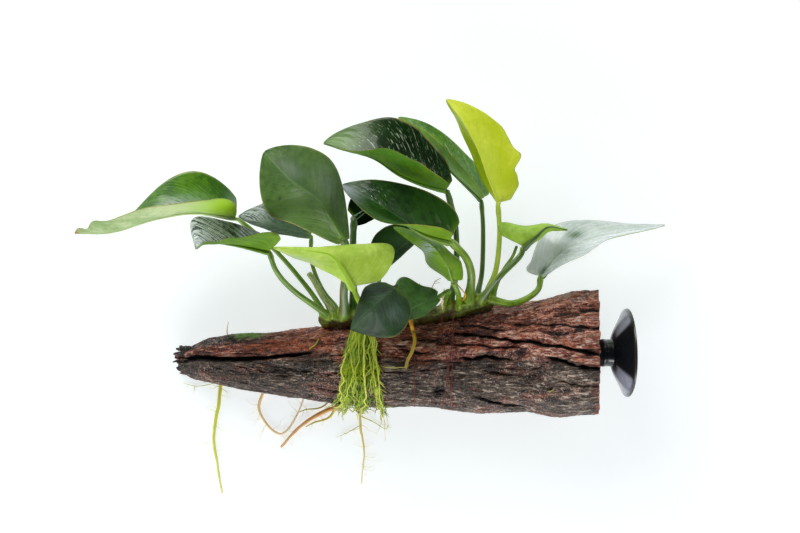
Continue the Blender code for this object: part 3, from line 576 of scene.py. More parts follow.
class Value:
    """Output of a shader node, reckoned with like a number."""

    def __init__(self, tree, socket):
        self.tree, self.socket = tree, socket

    def math(self, operation, other=0.0):
        return node(self.tree, "Math", {0: self, 1: other}, operation=operation)

    def __add__(self, other):
        return self.math("ADD", other)

    def __sub__(self, other):
        return self.math("SUBTRACT", other)

    def __mul__(self, other):
        return self.math("MULTIPLY", other)

    def held(self):
        """The same, kept from 0 to 1."""
        self.socket.node.use_clamp = True
        return self

    def remap(self, low, high, to_low=0.0, to_high=1.0):
        inputs = {"Value": self, "From Min": low, "From Max": high, "To Min": to_low, "To Max": to_high}
        return node(self.tree, "MapRange", inputs, interpolation_type="SMOOTHSTEP")

    def ramp(self, *stops):
        """Colour read from places and their screen colours."""
        made = self.tree.nodes.new("ShaderNodeValToRGB")
        self.join(made.inputs[0])
        row = made.color_ramp.elements
        while len(row) < len(stops):
            row.new(0.5)
        for element, (place, colour) in zip(row, stops):
            element.position = place
            element.color = linear(colour)
        return Value(self.tree, made.outputs[0])

    def join(self, entry):
        self.tree.links.new(self.socket, entry)


def node(tree, kind, inputs=None, output=0, **settings):
    """Adds a shader node and returns its output; an input is a number, a colour or a Value."""
    made = tree.nodes.new("ShaderNode" + kind)
    for key, value in settings.items():
        setattr(made, key, value)
    for key, value in (inputs or {}).items():
        if isinstance(value, Value):
            value.join(made.inputs[key])
        else:
            made.inputs[key].default_value = value
    return Value(tree, made.outputs[output])


class Skin:
    """Material whose colour is painted on in layers."""

    def __init__(self, name, settings=None, colour=None):
        self.material = bpy.data.materials.new(name)
        self.material.use_nodes = True
        self.tree = self.material.node_tree
        self.shader = self.tree.nodes["Principled BSDF"]
        self.colour = colour
        for key, value in (settings or {}).items():
            self.shader.inputs[key].default_value = value

    def value(self, name):
        """The named number that the mesh keeps for each point."""
        return node(self.tree, "Attribute", output=2, attribute_name=name)

    def place(self):
        return node(self.tree, "TexCoord", output=3)

    def speckle(self, per_mm, stretch=(1, 1, 1), detail=4.0, roughness=0.55, distortion=0.0, offset=0.0):
        """Noise from 0 to 1 with a feature size in millimetres, stretched along the axes."""
        inputs = {"Vector": self.place(), "Location": (offset, offset, offset), "Scale": stretch}
        return self.noise(node(self.tree, "Mapping", inputs), per_mm / MM, detail, roughness, distortion)

    def lanes(self, x, y, z, detail, scale=2.0):
        """Noise that runs along a leaf's or a stalk's own directions."""
        return self.noise(node(self.tree, "CombineXYZ", {0: x, 1: y, 2: z}), scale, detail, 0.6)

    def noise(self, vector, scale, detail, roughness, distortion=0.0):
        return node(self.tree, "TexNoise", {"Vector": vector, "Scale": scale, "Detail": detail,
                                            "Roughness": roughness, "Distortion": distortion})

    def mix(self, share, a, b):
        """Colour a where share is 0 and b where it is 1."""
        a, b = (c if isinstance(c, Value) else linear(c) for c in (a, b))
        return node(self.tree, "Mix", {0: share, 6: a, 7: b}, output=2, data_type="RGBA")

    def paint(self, share, colour):
        self.colour = self.mix(share, self.colour, colour)

    def finish(self, roughness, *reliefs):
        """Joins all to the shader; a relief is a height and its depth in millimetres."""
        self.colour.join(self.shader.inputs["Base Color"])
        roughness.join(self.shader.inputs["Roughness"])
        under = {}
        for height, depth in reliefs:
            normal = node(self.tree, "Bump", {"Height": height, "Distance": depth * MM, **under})
            under = {"Normal": normal}
        normal.join(self.shader.inputs["Normal"])
        return self.material


# Driftwood

def wood_section(x):
    """Middle place and height, half width and half height of the wood at x."""
    upper, lower = rounded(WOOD_UPPER_EDGE, x), rounded(WOOD_LOWER_EDGE, x)
    half_width = (upper - lower) / 2
    half_height = half_width * WOOD_HEIGHT_SHARE
    return (upper + lower) / 2, half_height * WOOD_FLAT_SHARE, half_width, half_height


def wood_lump(x, angle):
    around = Vector((math.cos(angle), math.sin(angle))) * WOOD_LUMP_ROUND
    return rough(x * WOOD_LUMP_PER_MM, around.x, around.y) * WOOD_LUMP


def wood_skin(x, angle, lift=0.0):
    """Smooth outside of the wood at x and the angle, lifted off it."""
    middle, centre_z, half_width, half_height = wood_section(x)
    reach = lift + wood_lump(x, angle)
    y = middle + (half_width + reach) * math.cos(angle)
    z = centre_z + (half_height + reach) * math.sin(angle)
    return Vector((x, y, z))


def wood_crack(x, y, crumbs):
    """Depth of the cracks and pits at a place of the wood's upper side."""
    crack = 0.0
    for line, deep, *halves in CRACKS:
        from_x, to_x = line[0][0], line[-1][0]
        if from_x <= x <= to_x:
            half = halves[0] + (halves[-1] - halves[0]) * (x - from_x) / (to_x - from_x)
            loose = min(1.0, 4.2 / deep)
            wander = 0.7 * loose * rough(x * 0.22, deep, halves[0])
            half *= CRACK_WIDTH * (1.0 + 0.8 * loose * rough(x * 0.35, y * 0.5, deep))
            share = ease(0, 9, x - from_x) if from_x > WOOD_TIP_X else 1.0
            if to_x < WOOD_SAWN_X:
                share *= ease(0, 12, to_x - x)
            away = (y - across(line, x) - wander) / (half * (0.55 + 0.6 * share))
            crack = max(crack, deep * share * hill(away))
    for pit_x, pit_y, reach, deep in WOOD_PITS:
        away = math.hypot((x - pit_x) / 1.6, y - pit_y) / reach
        crack = max(crack, deep * hill(away) * (0.8 + 0.7 * crumbs))
    return crack


def wood_relief(x, angle, y):
    """Height of the wood's grain at one place, depth of its grooves and cracks, and share of a ridge."""
    wide = angle * GRAIN_RADIUS + 1.8 * rough(x * 0.02, angle * 0.9, 7.1)
    wide += 0.6 * rough(x * 0.09, angle * 2.5, 2.4) + 2.2 * hill((x - 55) / 9) * math.sin((y + 1.0) / 4.5)
    smooth_side = ease(1.75, 2.2, angle) * (1 - ease(4.2, 4.8, angle))
    sharp = 1.0 - 0.45 * smooth_side
    fray = 0.13 * rough(x * 0.10, wide * 1.2, 17.0) + 0.07 * rough(x * 0.30, wide * 2.0, 27.0)
    coarse = hill((rough(x * 0.012, wide * 0.15, 1.3) + fray) / 0.050)
    middle = hill((rough(x * 0.024, wide * 0.42, 5.7) + fray) / 0.075)
    fine = hill(rough(x * 0.055, wide * 0.95, 9.4) / 0.15)
    broken = ease(-0.35, 0.15, rough(x * 0.05, wide * 0.1, 14.0))
    crumbs = 1 - 2.4 * abs(rough(x * 0.34, wide * 0.52, 3.3))
    grit = rough(x * 0.85, wide * 1.05, 6.3)
    steps = rough(x * 0.13, wide * 0.25, 8.8)
    plates = rough(x * 0.02, wide * 0.12, 11.0)
    depth = (0.95 * coarse + (0.75 * middle + 0.42 * fine) * broken) * sharp
    crack = wood_crack(x, y, crumbs) if math.sin(angle) > 0 else 0.0
    lift = (crumbs * 0.30 + grit * 0.26) * (1.0 - 0.25 * smooth_side) + steps * 0.55 * sharp + plates * 0.8
    # The ridge share is high on raised grain and low in grooves; the colour takes it as painted light and
    # shade
    ridge = 0.5 + 0.5 * steps + 0.35 * plates + 0.22 * crumbs - 0.25 * depth
    return lift, depth, crack, min(1.0, max(0.0, ridge))


def wood_stains(x, angle, y, ridge, last_rings):
    """Shares of redness, orange, crust, moss and ridge at a place of the wood."""
    edge = -3.0 + 3.0 * ease(10, 40, x) - 6.0 * ease(60, 90, x)
    if x < -30:
        edge = across(CRACKS[0][0], x) + 0.6
    upper_side = ease(-2.5, 2.5, y - edge + 3.5 * rough(x * 0.07, angle * 2.4, 12.0))
    streak = ease(-74, -66, x) * (1 - ease(-34, -26, x)) * hill((y - 4.6 - (x + 50) * 0.06) / 3.2)
    spots = ease(0.25, 0.5, rough(x * 0.13, angle * 6.0, 20.0)) * upper_side
    sawn_edge = ease(WOOD_SAWN_X - 3.4, WOOD_SAWN_X - 2.2, x) if last_rings else 0.0
    facing = math.cos(angle) + 0.06 * rough(x * 0.16, angle * 3.0, 31.0)
    edge_side = ease(0.66, 0.84, facing) * ease(-0.5, 0.0, math.sin(angle))
    return (upper_side if math.sin(angle) > -0.3 else 0.35,
            min(1.0, 1.25 * streak + 0.6 * spots * ease(-10, 0, x) + 0.8 * sawn_edge),
            edge_side * hill((x + 82) / 25, 4),
            ease(0.80, 0.92, facing) * edge_side * hill((x + 69.5) / 7.5, 4),
            ridge - 0.25 * ease(-12, -45, x) * (1 - upper_side))


def wood_place(share, angle):
    """x of a ring's corner: the tip is ragged and the sawn end nearly straight."""
    tip = WOOD_TIP_X + (-0.5 if angle < 1.72 or angle > 4.6 else 0.4)
    tip += 1.6 * rough(angle * 3.1, 4.0, 0.5) + 0.9 * rough(angle * 9.0, 1.0, 6.5)
    sawn = WOOD_SAWN_X + 0.25 * rough(angle * 2.5, 2.0, 2.0) + 0.7 * rough(angle * 7.0, 5.0, 2.0)
    sawn -= SAWN_LEAN * max(0.0, math.sin(angle))
    return tip + (sawn - tip) * (share - 0.035 * math.sin(2 * math.pi * share))


def driftwood():
    angles = [math.pi * k / WOOD_UPPER_SIDES for k in range(WOOD_UPPER_SIDES)]
    angles += [math.pi + math.pi * k / WOOD_LOWER_SIDES for k in range(WOOD_LOWER_SIDES)]
    sides = len(angles)
    points = []
    marks = {key: [] for key in ("hollow_shade", "redness", "orange", "crust", "moss", "ridge")}

    def mark(count, *levels):
        for numbers, level in zip(marks.values(), levels):
            numbers += [level] * count

    for i in range(WOOD_RINGS):
        for angle in angles:
            x = wood_place(i / (WOOD_RINGS - 1), angle)
            middle, centre_z, half_width, half_height = wood_section(x)
            lift, depth, crack, ridge = wood_relief(x, angle, middle + half_width * math.cos(angle))
            narrow = min(1.0, half_width / 16.0)
            depth *= narrow
            point = wood_skin(x, angle, lift * narrow - depth)
            point.z = max(point.z - min(crack, half_height * 0.85), 0.0)
            points.append(point)
            # Painted shade: the deeper a groove or crack, the darker the wood is painted there
            hollow_shade = min(1.0, max(0.0, depth - 0.35) / 1.3 + crack / 2.4)
            mark(1, hollow_shade, *wood_stains(x, angle, point.y, ridge, i > WOOD_RINGS - 6))
    faces = skin_faces(WOOD_RINGS, sides)
    kinds = [0] * len(faces)
    for end, kind, broken, bulge, hollow_shade in ((0, 2, 1.6, 1.2, 0.25), (WOOD_RINGS - 1, 1, 0.22, -0.25, 0.0)):
        previous = [end * sides + k for k in range(sides)]
        rim = [points[k] for k in previous]
        centre = sum(rim, Vector()) / sides
        for ring in range(1, WOOD_END_RINGS):
            share = 1 - ring / WOOD_END_RINGS
            current = [len(points) + k for k in range(sides)]
            for corner in rim:
                place = centre + (corner - centre) * share
                place.x += rough(*(place * 0.9)) * broken + bulge * (1 - share)
                points.append(place)
            for k in range(sides):
                n = (k + 1) % sides
                faces.append((previous[k], previous[n], current[n], current[k]))
            mark(sides, hollow_shade, 0.5, 0.0, 0.0, 0.0, 0.4)
            kinds += [kind] * sides
            previous = current
        faces.append(tuple(previous))
        kinds.append(kind)
    for start, end, radius in WOOD_SPLINTERS:
        path = [Vector(start).lerp(Vector(end), i / SPLINTER_STEPS) for i in range(SPLINTER_STEPS + 1)]
        for i, spot in enumerate(path):
            spot += noise.noise_vector(spot * 0.35) * 0.5 * i / SPLINTER_STEPS
        radii = [radius * (1.0 - 0.8 * (i / SPLINTER_STEPS) ** 2.2) for i in range(SPLINTER_STEPS + 1)]
        more_points, more_faces = tube(path, radii, SPLINTER_SIDES, first=len(points))
        points += [p + noise.noise_vector(p * 0.8) * 0.55 for p in more_points]
        faces += more_faces
        kinds += [2] * len(more_faces)
        mark(len(more_points), 0.30, 0.3, 0.0, 0.7, 0.0, 0.4)
    materials = [wood_material("wood_weathered"), sawn_material(), wood_material("wood_broken")]
    add_piece("driftwood", points, faces, materials, marks, kinds)


def wood_material(name):
    """Wet weathered wood: reddish above, grey below, painted shade in its cracks, pale grains and painted
    glints.
    """
    skin = Skin(name)
    hollow_shade = skin.value("hollow_shade")
    crag = skin.speckle(0.80, (0.25, 1, 1), 8, 0.74, 0.5)
    fibres = skin.speckle(1.5, (0.09, 1, 1), 6, 0.65, 0.25, 0.3)
    patches = skin.speckle(0.10, (0.45, 1, 1), 5, offset=0.7)
    grit = skin.speckle(1.6, (0.85, 1, 1), 2, 0.7, offset=0.11)
    stain = skin.speckle(0.42, (0.5, 1, 1), 6, 0.7, offset=0.5)
    split = skin.speckle(0.55, (0.09, 1, 1), 4, 0.6, 0.3, 0.9)
    # The ridge share makes raised grain lighter and grooves darker, painted light and shade; it is also
    # lowered on the lower side towards the tip
    tone = crag * 0.52 + fibres * 0.48 + skin.value("ridge").remap(0.10, 0.85, -0.045, 0.035)
    tone = tone.remap(0.385, 0.615)
    skin.colour = tone.ramp((0.0, (16, 10, 6)), (0.26, (52, 37, 26)), (0.55, (84, 65, 49)),
                            (0.82, (118, 97, 78)), (1.0, (214, 200, 184)))
    red = tone.ramp((0.0, (32, 8, 4)), (0.25, (110, 38, 23)), (0.5, (172, 80, 52)),
                    (0.76, (214, 132, 98)), (1.0, (250, 216, 198)))
    skin.paint((skin.value("redness") + patches.remap(0.35, 0.65, -0.34, 0.38)).held(), red)
    skin.paint((skin.value("orange") * crag.remap(0.38, 0.58)).held(), (202, 100, 50))
    rust = skin.speckle(0.22, (0.4, 1, 1), 5, offset=1.3)
    skin.paint(rust.remap(0.56, 0.70, 0.0, 0.5), (132, 64, 38))
    skin.paint(stain.remap(0.53, 0.66, 0.0, 0.55), (44, 28, 22))
    seam = (split - 0.5).math("ABSOLUTE").remap(0.004, 0.026, 1.0, 0.0)
    skin.paint(seam * 0.75, (22, 12, 10))
    skin.paint(skin.value("crust") * crag.remap(0.48, 0.62, 1.0, 0.5), (20, 16, 15))
    mossy = skin.value("moss") * stain.remap(0.36, 0.48)
    skin.paint(mossy, skin.mix(crag, (58, 96, 14), (128, 170, 50)))
    # Painted shade in the grooves and cracks
    skin.paint(hollow_shade.remap(0.26, 0.80, 0.0, 0.96), (14, 9, 8))
    # Pale specks: partly pale grains of the wood, partly painted glints of its wet surface
    specks_and_glints = grit.remap(0.60, 0.65) * patches.remap(0.40, 0.60, 0.30, 0.95) * hollow_shade.remap(0.3, 0.7, 1.0, 0.1)
    skin.paint(specks_and_glints, (226, 214, 208))
    return skin.finish(stain.remap(0.35, 0.65, 0.24, 0.56), (crag - seam * 0.18, 1.4),
                       (fibres * 0.4 + grit * 0.8, 0.5))


def sawn_material():
    """End grain: growth rings round a pith off the middle, short rays and saw marks."""
    skin = Skin("wood_sawn", {"Specular IOR Level": 0.3})
    wander = skin.speckle(0.07, detail=3)
    centred = node(skin.tree, "VectorMath", {0: skin.place(), 1: (0.0, -0.003, 0.021)}, operation="SUBTRACT")
    flat = node(skin.tree, "VectorMath", {0: centred, 1: (0.0, 1.0, 1.0)}, operation="MULTIPLY")
    reach = node(skin.tree, "VectorMath", {0: flat}, output=1, operation="LENGTH")
    rings = ((reach + wander.remap(0.3, 0.7, -0.0025, 0.0025)) * 4200.0).math("SINE")
    pores = skin.speckle(3.0, detail=3, roughness=0.7)
    saw = skin.speckle(1.2, (1, 0.08, 1), 3, offset=0.4)
    stain = skin.speckle(0.09, offset=0.9)
    tone = (rings.remap(-1, 1, 0.15, 0.75) + saw.remap(0.3, 0.7, -0.15, 0.15)).held()
    skin.colour = tone.ramp((0.0, (62, 36, 26)), (0.5, (98, 62, 43)), (1.0, (138, 96, 68)))
    skin.paint(stain.remap(0.45, 0.7, 0.0, 0.7), (84, 60, 50))
    skin.paint(pores.remap(0.62, 0.74), (48, 28, 20))
    skin.paint(reach.remap(0.021, 0.028, 0.0, 0.8), (74, 50, 42))
    return skin.finish(stain.remap(0.3, 0.7, 0.55, 0.8), (rings, 0.08), (saw, 0.25))


# Suction cup

def suction_cup():
    lean = math.radians(CUP_LEAN_DEG)
    axis = Vector((math.cos(lean), 0.0, -math.sin(lean)))
    sideways = Vector((0.0, 1.0, 0.0))
    upright = axis.cross(sideways)
    points, rings, thin, painted_sheen = [], [], [], []
    for index, (reach, radius) in enumerate(CUP_PROFILE):
        count = CUP_SIDES if radius > 0 else 1
        rings.append(range(len(points), len(points) + count))
        for k in range(count):
            turn = 2 * math.pi * k / CUP_SIDES
            spoke = sideways * math.cos(turn) + upright * math.sin(turn)
            wave = 0.12 * ease(14, 20, radius) * math.sin(3 * turn + 1.0)
            points.append(Vector(CUP_SEAT) + axis * (reach + wave) + spoke * radius)
            thin.append(ease(18.6, 20.0, radius))
            # Painted sheen: pale wedges on the bell's outside, on the two sides along Y, stand in for its
            # reflection of the bright surroundings
            outer = ease(8.0, 10.5, radius) * (1 - ease(18.8, 19.8, radius)) * (1 - ease(12.0, 12.3, reach))
            side = ease(0.62, 0.74, abs(math.cos(turn + 0.12)))
            painted_sheen.append(outer * side if index < CUP_OUTSIDE_ROWS else 0.0)
    faces = []
    for a, b in zip(rings, rings[1:]):
        for k in range(CUP_SIDES):
            n = (k + 1) % CUP_SIDES
            corners = [a[k % len(a)], a[n % len(a)], b[n % len(b)], b[k % len(b)]]
            faces.append(tuple(dict.fromkeys(corners)))
    piece = add_piece("suction_cup", points, faces, [cup_material()], {"thin": thin, "painted_sheen": painted_sheen})
    piece.data.set_sharp_from_angle(angle=math.radians(CUP_SHARP_DEG))


def cup_material():
    skin = Skin("rubber_black", {"Specular IOR Level": 0.3, "Coat Weight": 0.5, "Coat Roughness": 0.08,
                                 "Sheen Weight": 0.25, "Sheen Roughness": 0.25,
                                 "Sheen Tint": (0.80, 0.86, 1.0, 1.0)}, (9, 19, 25))
    dust = skin.speckle(0.8, detail=6, roughness=0.7)
    smear = skin.speckle(0.08, offset=0.3)
    skin.paint(dust.remap(0.62, 0.78, 0.0, 0.06), (60, 74, 88))
    # Painted reflection: the pale wedges of the sheen share
    skin.paint(skin.value("painted_sheen") * smear.remap(0.25, 0.75, 0.70, 1.0), (170, 176, 194))
    skin.paint(skin.value("thin") * 0.35, (66, 54, 40))
    return skin.finish(smear.remap(0.3, 0.7, 0.16, 0.34), (dust, 0.012))


# Creeping stem

def stem_radius(x):
    share = (x - STEM_FROM_X) / (STEM_TO_X - STEM_FROM_X)
    taper = min(1.0, 0.55 + 3.0 * min(share, 1.0 - share))
    return STEM_RADIUS * taper * (1.0 + STEM_SWELL * math.sin(x * STEM_SWELL_PER_MM))


def stem_middle(x):
    middle, centre_z, half_width, half_height = wood_section(x)
    out = outward(math.radians(STEM_SHOULDER_DEG))
    skin = Vector((x, middle + half_width * out.y, centre_z + half_height * out.z))
    return skin + out * (STEM_REACH + STEM_CLEARANCE)


def creeping_stem():
    feet = [(spec["x"], math.radians(spec["turn"]), spec["radius"])
            for spec in [*STALKS.values(), *BARE_STALKS.values()]]
    points, scar, bright, underside_shade = [], [], [], []
    for i in range(STEM_RINGS):
        x = STEM_FROM_X + (STEM_TO_X - STEM_FROM_X) * i / (STEM_RINGS - 1)
        centre = stem_middle(x) + Vector(STEM_SHIFT)
        closing = math.sqrt(min(1.0, 0.04 + min(i, STEM_RINGS - 1 - i) / 11))
        for k in range(STEM_SIDES):
            turn = 2 * math.pi * k / STEM_SIDES
            out = outward(turn)
            knob = ease(0.05, 0.5, rough(x * 0.16, out.y * 1.3, out.z * 1.3 + 4.0))
            ring = hill(math.sin(x * 1.3 + 0.9 * math.sin(turn) + 1.4 * rough(x * 0.2, 0, 1)) / 0.16)
            wrinkle = rough(x * 0.9, out.y * 3.0, out.z * 3.0)
            swell, bulb = 0.0, 0.0
            for foot_x, foot_turn, foot_radius in feet:
                apart = (turn - foot_turn + math.pi) % (2 * math.pi) - math.pi
                swell += hill((x - foot_x) / (1.5 * foot_radius)) * hill(apart / 0.55)
                reach = (x - foot_x + 0.5 * wrinkle) / (1.05 * foot_radius + 0.2)
                bulb = max(bulb, hill(reach) * hill(apart / 1.7, 4))
            inward = max(0.0, -out.dot(Vector(STEM_UNDERSIDE))) ** 2
            radius = stem_radius(x) * STEM_SEEN * closing + 0.8 * knob - 0.22 * ring + 0.16 * wrinkle
            radius += (1.5 * bulb - 0.4) * closing
            radius += 6.4 * inward * closing * (0.9 + 0.35 * rough(x * 0.5, 3.0, 1.0))
            points.append(centre + out * (radius + 1.3 * min(1.0, swell)))
            scar.append(ring)
            bright.append(min(1.0, swell + bulb + 0.25 * knob))
            # Painted shade: the underside towards the wood and the bare stretches between the leaf bases are
            # darkened
            bare = 1.0 - ease(0.10, 0.45, bulb + 0.6 * knob)
            hidden = max(ease(0.40, 0.95, inward + 0.12 * wrinkle), 0.7 * bare)
            underside_shade.append(hidden * (1.0 - 0.8 * min(1.0, swell + bulb)))
    add_piece("creeping_stem", points, closed_skin(STEM_RINGS, STEM_SIDES), [stem_material()],
              {"scar": scar, "bright": bright, "underside_shade": underside_shade})


def stem_material():
    skin = Skin("stem_green", {"Subsurface Weight": 0.1})
    blotch = skin.speckle(0.16, detail=5, roughness=0.6)
    grain = skin.speckle(1.3, (0.5, 1, 1), 6, 0.7)
    skin.colour = blotch.ramp((0.30, (38, 52, 14)), (0.5, (74, 102, 24)), (0.7, (118, 150, 46)))
    skin.paint(skin.value("bright"), skin.mix(grain.remap(0.35, 0.65), (108, 150, 26), (160, 196, 66)))
    skin.paint(grain.remap(0.56, 0.70, 0.0, 0.6), (74, 56, 30))
    skin.paint(skin.value("scar") * 0.6, (44, 36, 20))
    # Painted shade on the underside and between the leaf bases, dark green to olive brown
    shaded_underside = skin.value("underside_shade") * grain.remap(0.30, 0.55, 0.95, 0.75)
    skin.paint(shaded_underside, skin.mix(grain, (20, 24, 8), (72, 70, 30)))
    return skin.finish(grain.remap(0.3, 0.7, 0.28, 0.5) + shaded_underside * 0.35, (grain, 0.35))


# Leaf blades

def blade_breadth(t):
    """Share of the full half width at t: round at the base, drawn out at the tip."""
    a, b = BLADE_ROUND_BASE, BLADE_POINTED_TIP
    peak = (a / (a + b)) ** a * (b / (a + b)) ** b
    return t ** a * (1 - t) ** b / peak


def blade_grid(name):
    """For each row and column of a blade: point, upper direction, place, vein phase and half width."""
    blade = BLADES[name]
    seed = int(name[-2:]) * 7.3
    grid = []
    for i in range(BLADE_ROWS + 1):
        t = 0.004 + 0.99 * (0.5 - 0.5 * math.cos(math.pi * i / BLADE_ROWS))
        run = (along(blade["rib"], t + 0.02) - along(blade["rib"], t - 0.02)).normalized()
        rib = along(blade["rib"], t)
        sides = {side: along(blade[side], t) for side in ("left", "right")}
        ups = {"left": run.cross(sides["left"]).normalized(), "right": sides["right"].cross(run).normalized()}
        breadth = blade_breadth(t)
        for side in sides:
            nicks = [nick[1:] for nick in BLADE_NICKS.get(name, []) if nick[0] == side]
            sides[side] *= breadth * (1 + sum(size * hill((t - at) / reach) for at, size, reach in nicks))
        row = []
        for c in range(-BLADE_HALF_COLUMNS, BLADE_HALF_COLUMNS + 1):
            s = math.copysign((abs(c) / BLADE_HALF_COLUMNS) ** 1.35, c)
            out = abs(s)
            offset = sides["left" if s < 0 else "right"]
            lean = min(max(s / 0.14, -1.0), 1.0) * 0.5
            up = (ups["left"] * (0.5 - lean) + ups["right"] * (0.5 + lean)).normalized()
            lobe = BLADE_LOBE * (1 - t) ** 4 * min(1.0, t / BLADE_LOBE_FROM) * out
            point = rib + offset * out - run * lobe
            point -= up * BLADE_CUPPING * math.sin(math.pi * out) * breadth
            phase = (t - VEIN_SWEEP * out ** 1.2) * VEINS + (0.35 if s < 0 else 0.0)
            lift = 0.16 * abs(math.sin(math.pi * phase)) * math.sin(math.pi * min(1.0, out * 1.05)) ** 0.5
            lift += 0.55 * out ** 3 * rough(t * 5.5, 0.0 if s < 0 else 2.0, seed)
            lift += 0.45 * rough(t * 2.6, s * 1.4, seed + 3.0) * breadth
            lift += 0.10 * rough(t * 16.0, s * 7.0, seed + 9.0)
            row.append((point + up * lift, up, t, s, phase, offset.length))
        grid.append(row)
    return grid


def leaf_blade(name):
    grid = blade_grid(name)
    rows, width = len(grid) - 1, len(grid[0])
    sheet = width * len(grid)
    patches = BLADE_LOOKS[name].get("patches", [])
    points = []
    values = {key: [] for key in ("leaf_t", "leaf_s", "vein", *(f"patch_{i}" for i in range(len(patches))))}
    for face in (1, -1):
        for point, up, t, s, phase, breadth in sum(grid, []):
            thick = BLADE_THICKNESS * (0.32 + 0.68 * (1 - abs(s) ** 1.5)) / 2
            dent = 0.16 * hill(s * breadth / 0.5) * (1 - t) if face > 0 else 0.0
            points.append(point + up * (thick * face - dent))
            levels = [t, abs(s), phase]
            for side, at_t, at_s, reach_t, reach_s, *rest in patches:
                levels.append(hill((t - at_t) / reach_t) * hill((s - at_s) / reach_s))
            for numbers, level in zip(values.values(), levels):
                numbers.append(level)
    faces, kinds = [], []
    for i in range(rows):
        for a in range(i * width, i * width + width - 1):
            faces.append((a, a + 1, a + width + 1, a + width))
            faces.append((sheet + a + width, sheet + a + width + 1, sheet + a + 1, sheet + a))
            kinds += [0, 1]
    border = list(range(width))
    border += [i * width + width - 1 for i in range(1, rows + 1)]
    border += [rows * width + c for c in range(width - 2, -1, -1)]
    border += [i * width for i in range(rows - 1, 0, -1)]
    for a, b in zip(border, border[1:] + border[:1]):
        faces.append((b, a, sheet + a, sheet + b))
        kinds.append(0)
    materials = [leaf_material(name, "upper"), leaf_material(name, "under")]
    add_piece(name, points, faces, materials, values, kinds)


def leaf_material(name, face):
    """Waxy upper face or matt underside, with veins that run from the rib to the margin."""
    look = BLADE_LOOKS[name]
    upper = face == "upper"
    dark, light = look[face]
    woven = look.get("woven", 0.2)
    seed = int(name[-2:]) * 0.173
    settings = {"Specular IOR Level": look.get("gloss", 0.5) if upper else 0.3}
    if upper:
        settings.update({"Coat Weight": look["wet"], "Coat Roughness": 0.10, "Coat IOR": 1.38})
    skin = Skin(f"{name}_{face}", settings)
    t, s, vein = (skin.value(key) for key in ("leaf_t", "leaf_s", "vein"))
    streak = skin.lanes(vein * 3.2, s * 1.1, seed * 9, 4.0, 2.0)
    dashes = skin.lanes(vein * 4.6, s * 4.2, seed * 5, 3.0, 2.0)
    blotch = skin.speckle(0.05, roughness=0.6, offset=seed)
    mottle = skin.speckle(0.45, detail=5, roughness=0.62, offset=seed + 0.4)
    cells = skin.speckle(1.6, roughness=0.65, offset=seed + 0.8)
    full = vein * (2 * math.pi)
    side_vein = full.math("COSINE").remap(0.955, 1.0) * t.remap(0.70, 0.95, 1.0, 0.0)
    fine_vein = (full * 4.0).math("COSINE").remap(0.80, 1.0)
    tone = blotch * (0.75 - woven) + streak * woven + mottle * 0.25
    skin.colour = skin.mix(tone.remap(0.41, 0.59), dark, light)
    pale = [c + (255 - c) * 0.14 for c in light] if upper else [c * 0.84 for c in light]
    skin.paint(fine_vein * 0.06, pale)
    skin.paint(side_vein * (0.24 if upper else 0.16), pale)
    rib_line = s.remap(0.010, 0.045, 1.0, 0.0) * look.get("rib_line", 0.5)
    skin.paint(rib_line, [c + (255 - c) * 0.16 for c in light])
    skin.paint(t.remap(0.0, 0.10, 0.4, 0.0), (132, 170, 40))
    # Patches: mostly painted reflections and sheen, some the leaf's own colour
    for i, (side, *place, tint, strength, streaky) in enumerate(look.get("patches", [])):
        if side == face:
            share = skin.value(f"patch_{i}") * strength
            if streaky:
                pattern, edge = (dashes, 0.575) if streaky > 1 else (streak, 0.42 + 0.08 * streaky)
                share = share * (pattern * 0.8 + mottle * 0.2).remap(edge, edge + 0.05)
            skin.paint(share, tint)
    rim = s.remap(0.965, 0.99) * blotch.remap(0.40, 0.60, 0.15, look.get("rim", 0.5))
    skin.paint(rim, (184, 156, 44))
    skin.paint(skin.speckle(0.30, detail=2, offset=seed + 1.7).remap(0.755, 0.785, 0.0, 0.5), (50, 56, 14))
    base = look["rough"] if upper else 0.50
    relief = side_vein * (-0.35 if upper else 0.4) + fine_vein * (-0.08 if upper else 0.12)
    relief = relief + mottle * 0.5 + streak * (0.15 + 1.8 * woven)
    return skin.finish((streak * 0.6 + mottle * 0.4).remap(0.36, 0.64, base - 0.06, base + 0.14),
                       (relief, 0.26 if upper else 0.10), (cells, 0.08 if upper else 0.04))


# Stalks

def stalk_material(name, blade_name=None):
    look = STALK_LOOKS.get(name, STALK_LOOK)
    skin = Skin(name + "_skin", {"Coat Weight": 0.12, "Coat Roughness": 0.12})
    place, turned = skin.value("place"), skin.value("turned")
    level = skin.value("level") * 1.6 + sum(map(ord, name)) * 0.37
    streaks = skin.lanes(place * 5.0, turned * 1.6, level, 5.0, 2.4)
    skin.colour = skin.mix(streaks.remap(0.34, 0.66), look["dark"], look["light"])
    skin.paint(turned.remap(0.35, 0.95) * streaks.remap(0.30, 0.55, 0.4, 0.85), look["edge"])
    skin.paint(place.remap(0.0, 0.13, 0.85, 0.0), (138, 178, 48))
    if blade_name:
        blade = BLADE_LOOKS[blade_name]
        tint = blade.get("rib_tint", [0.5 * (a + b) for a, b in zip(*blade["under"])])
        # The midrib part takes the blade's rib tint; blade_01's pale tint is painted light
        skin.paint(place.remap(0.45, 0.52, 0.0, 0.85), tint)
    spots = skin.speckle(0.7, roughness=0.6, offset=0.6)
    skin.paint(spots.remap(0.64, 0.74, 0.0, 0.35), (84, 80, 34))
    return skin.finish(streaks.remap(0.3, 0.7, 0.26, 0.42), (streaks, 0.16))


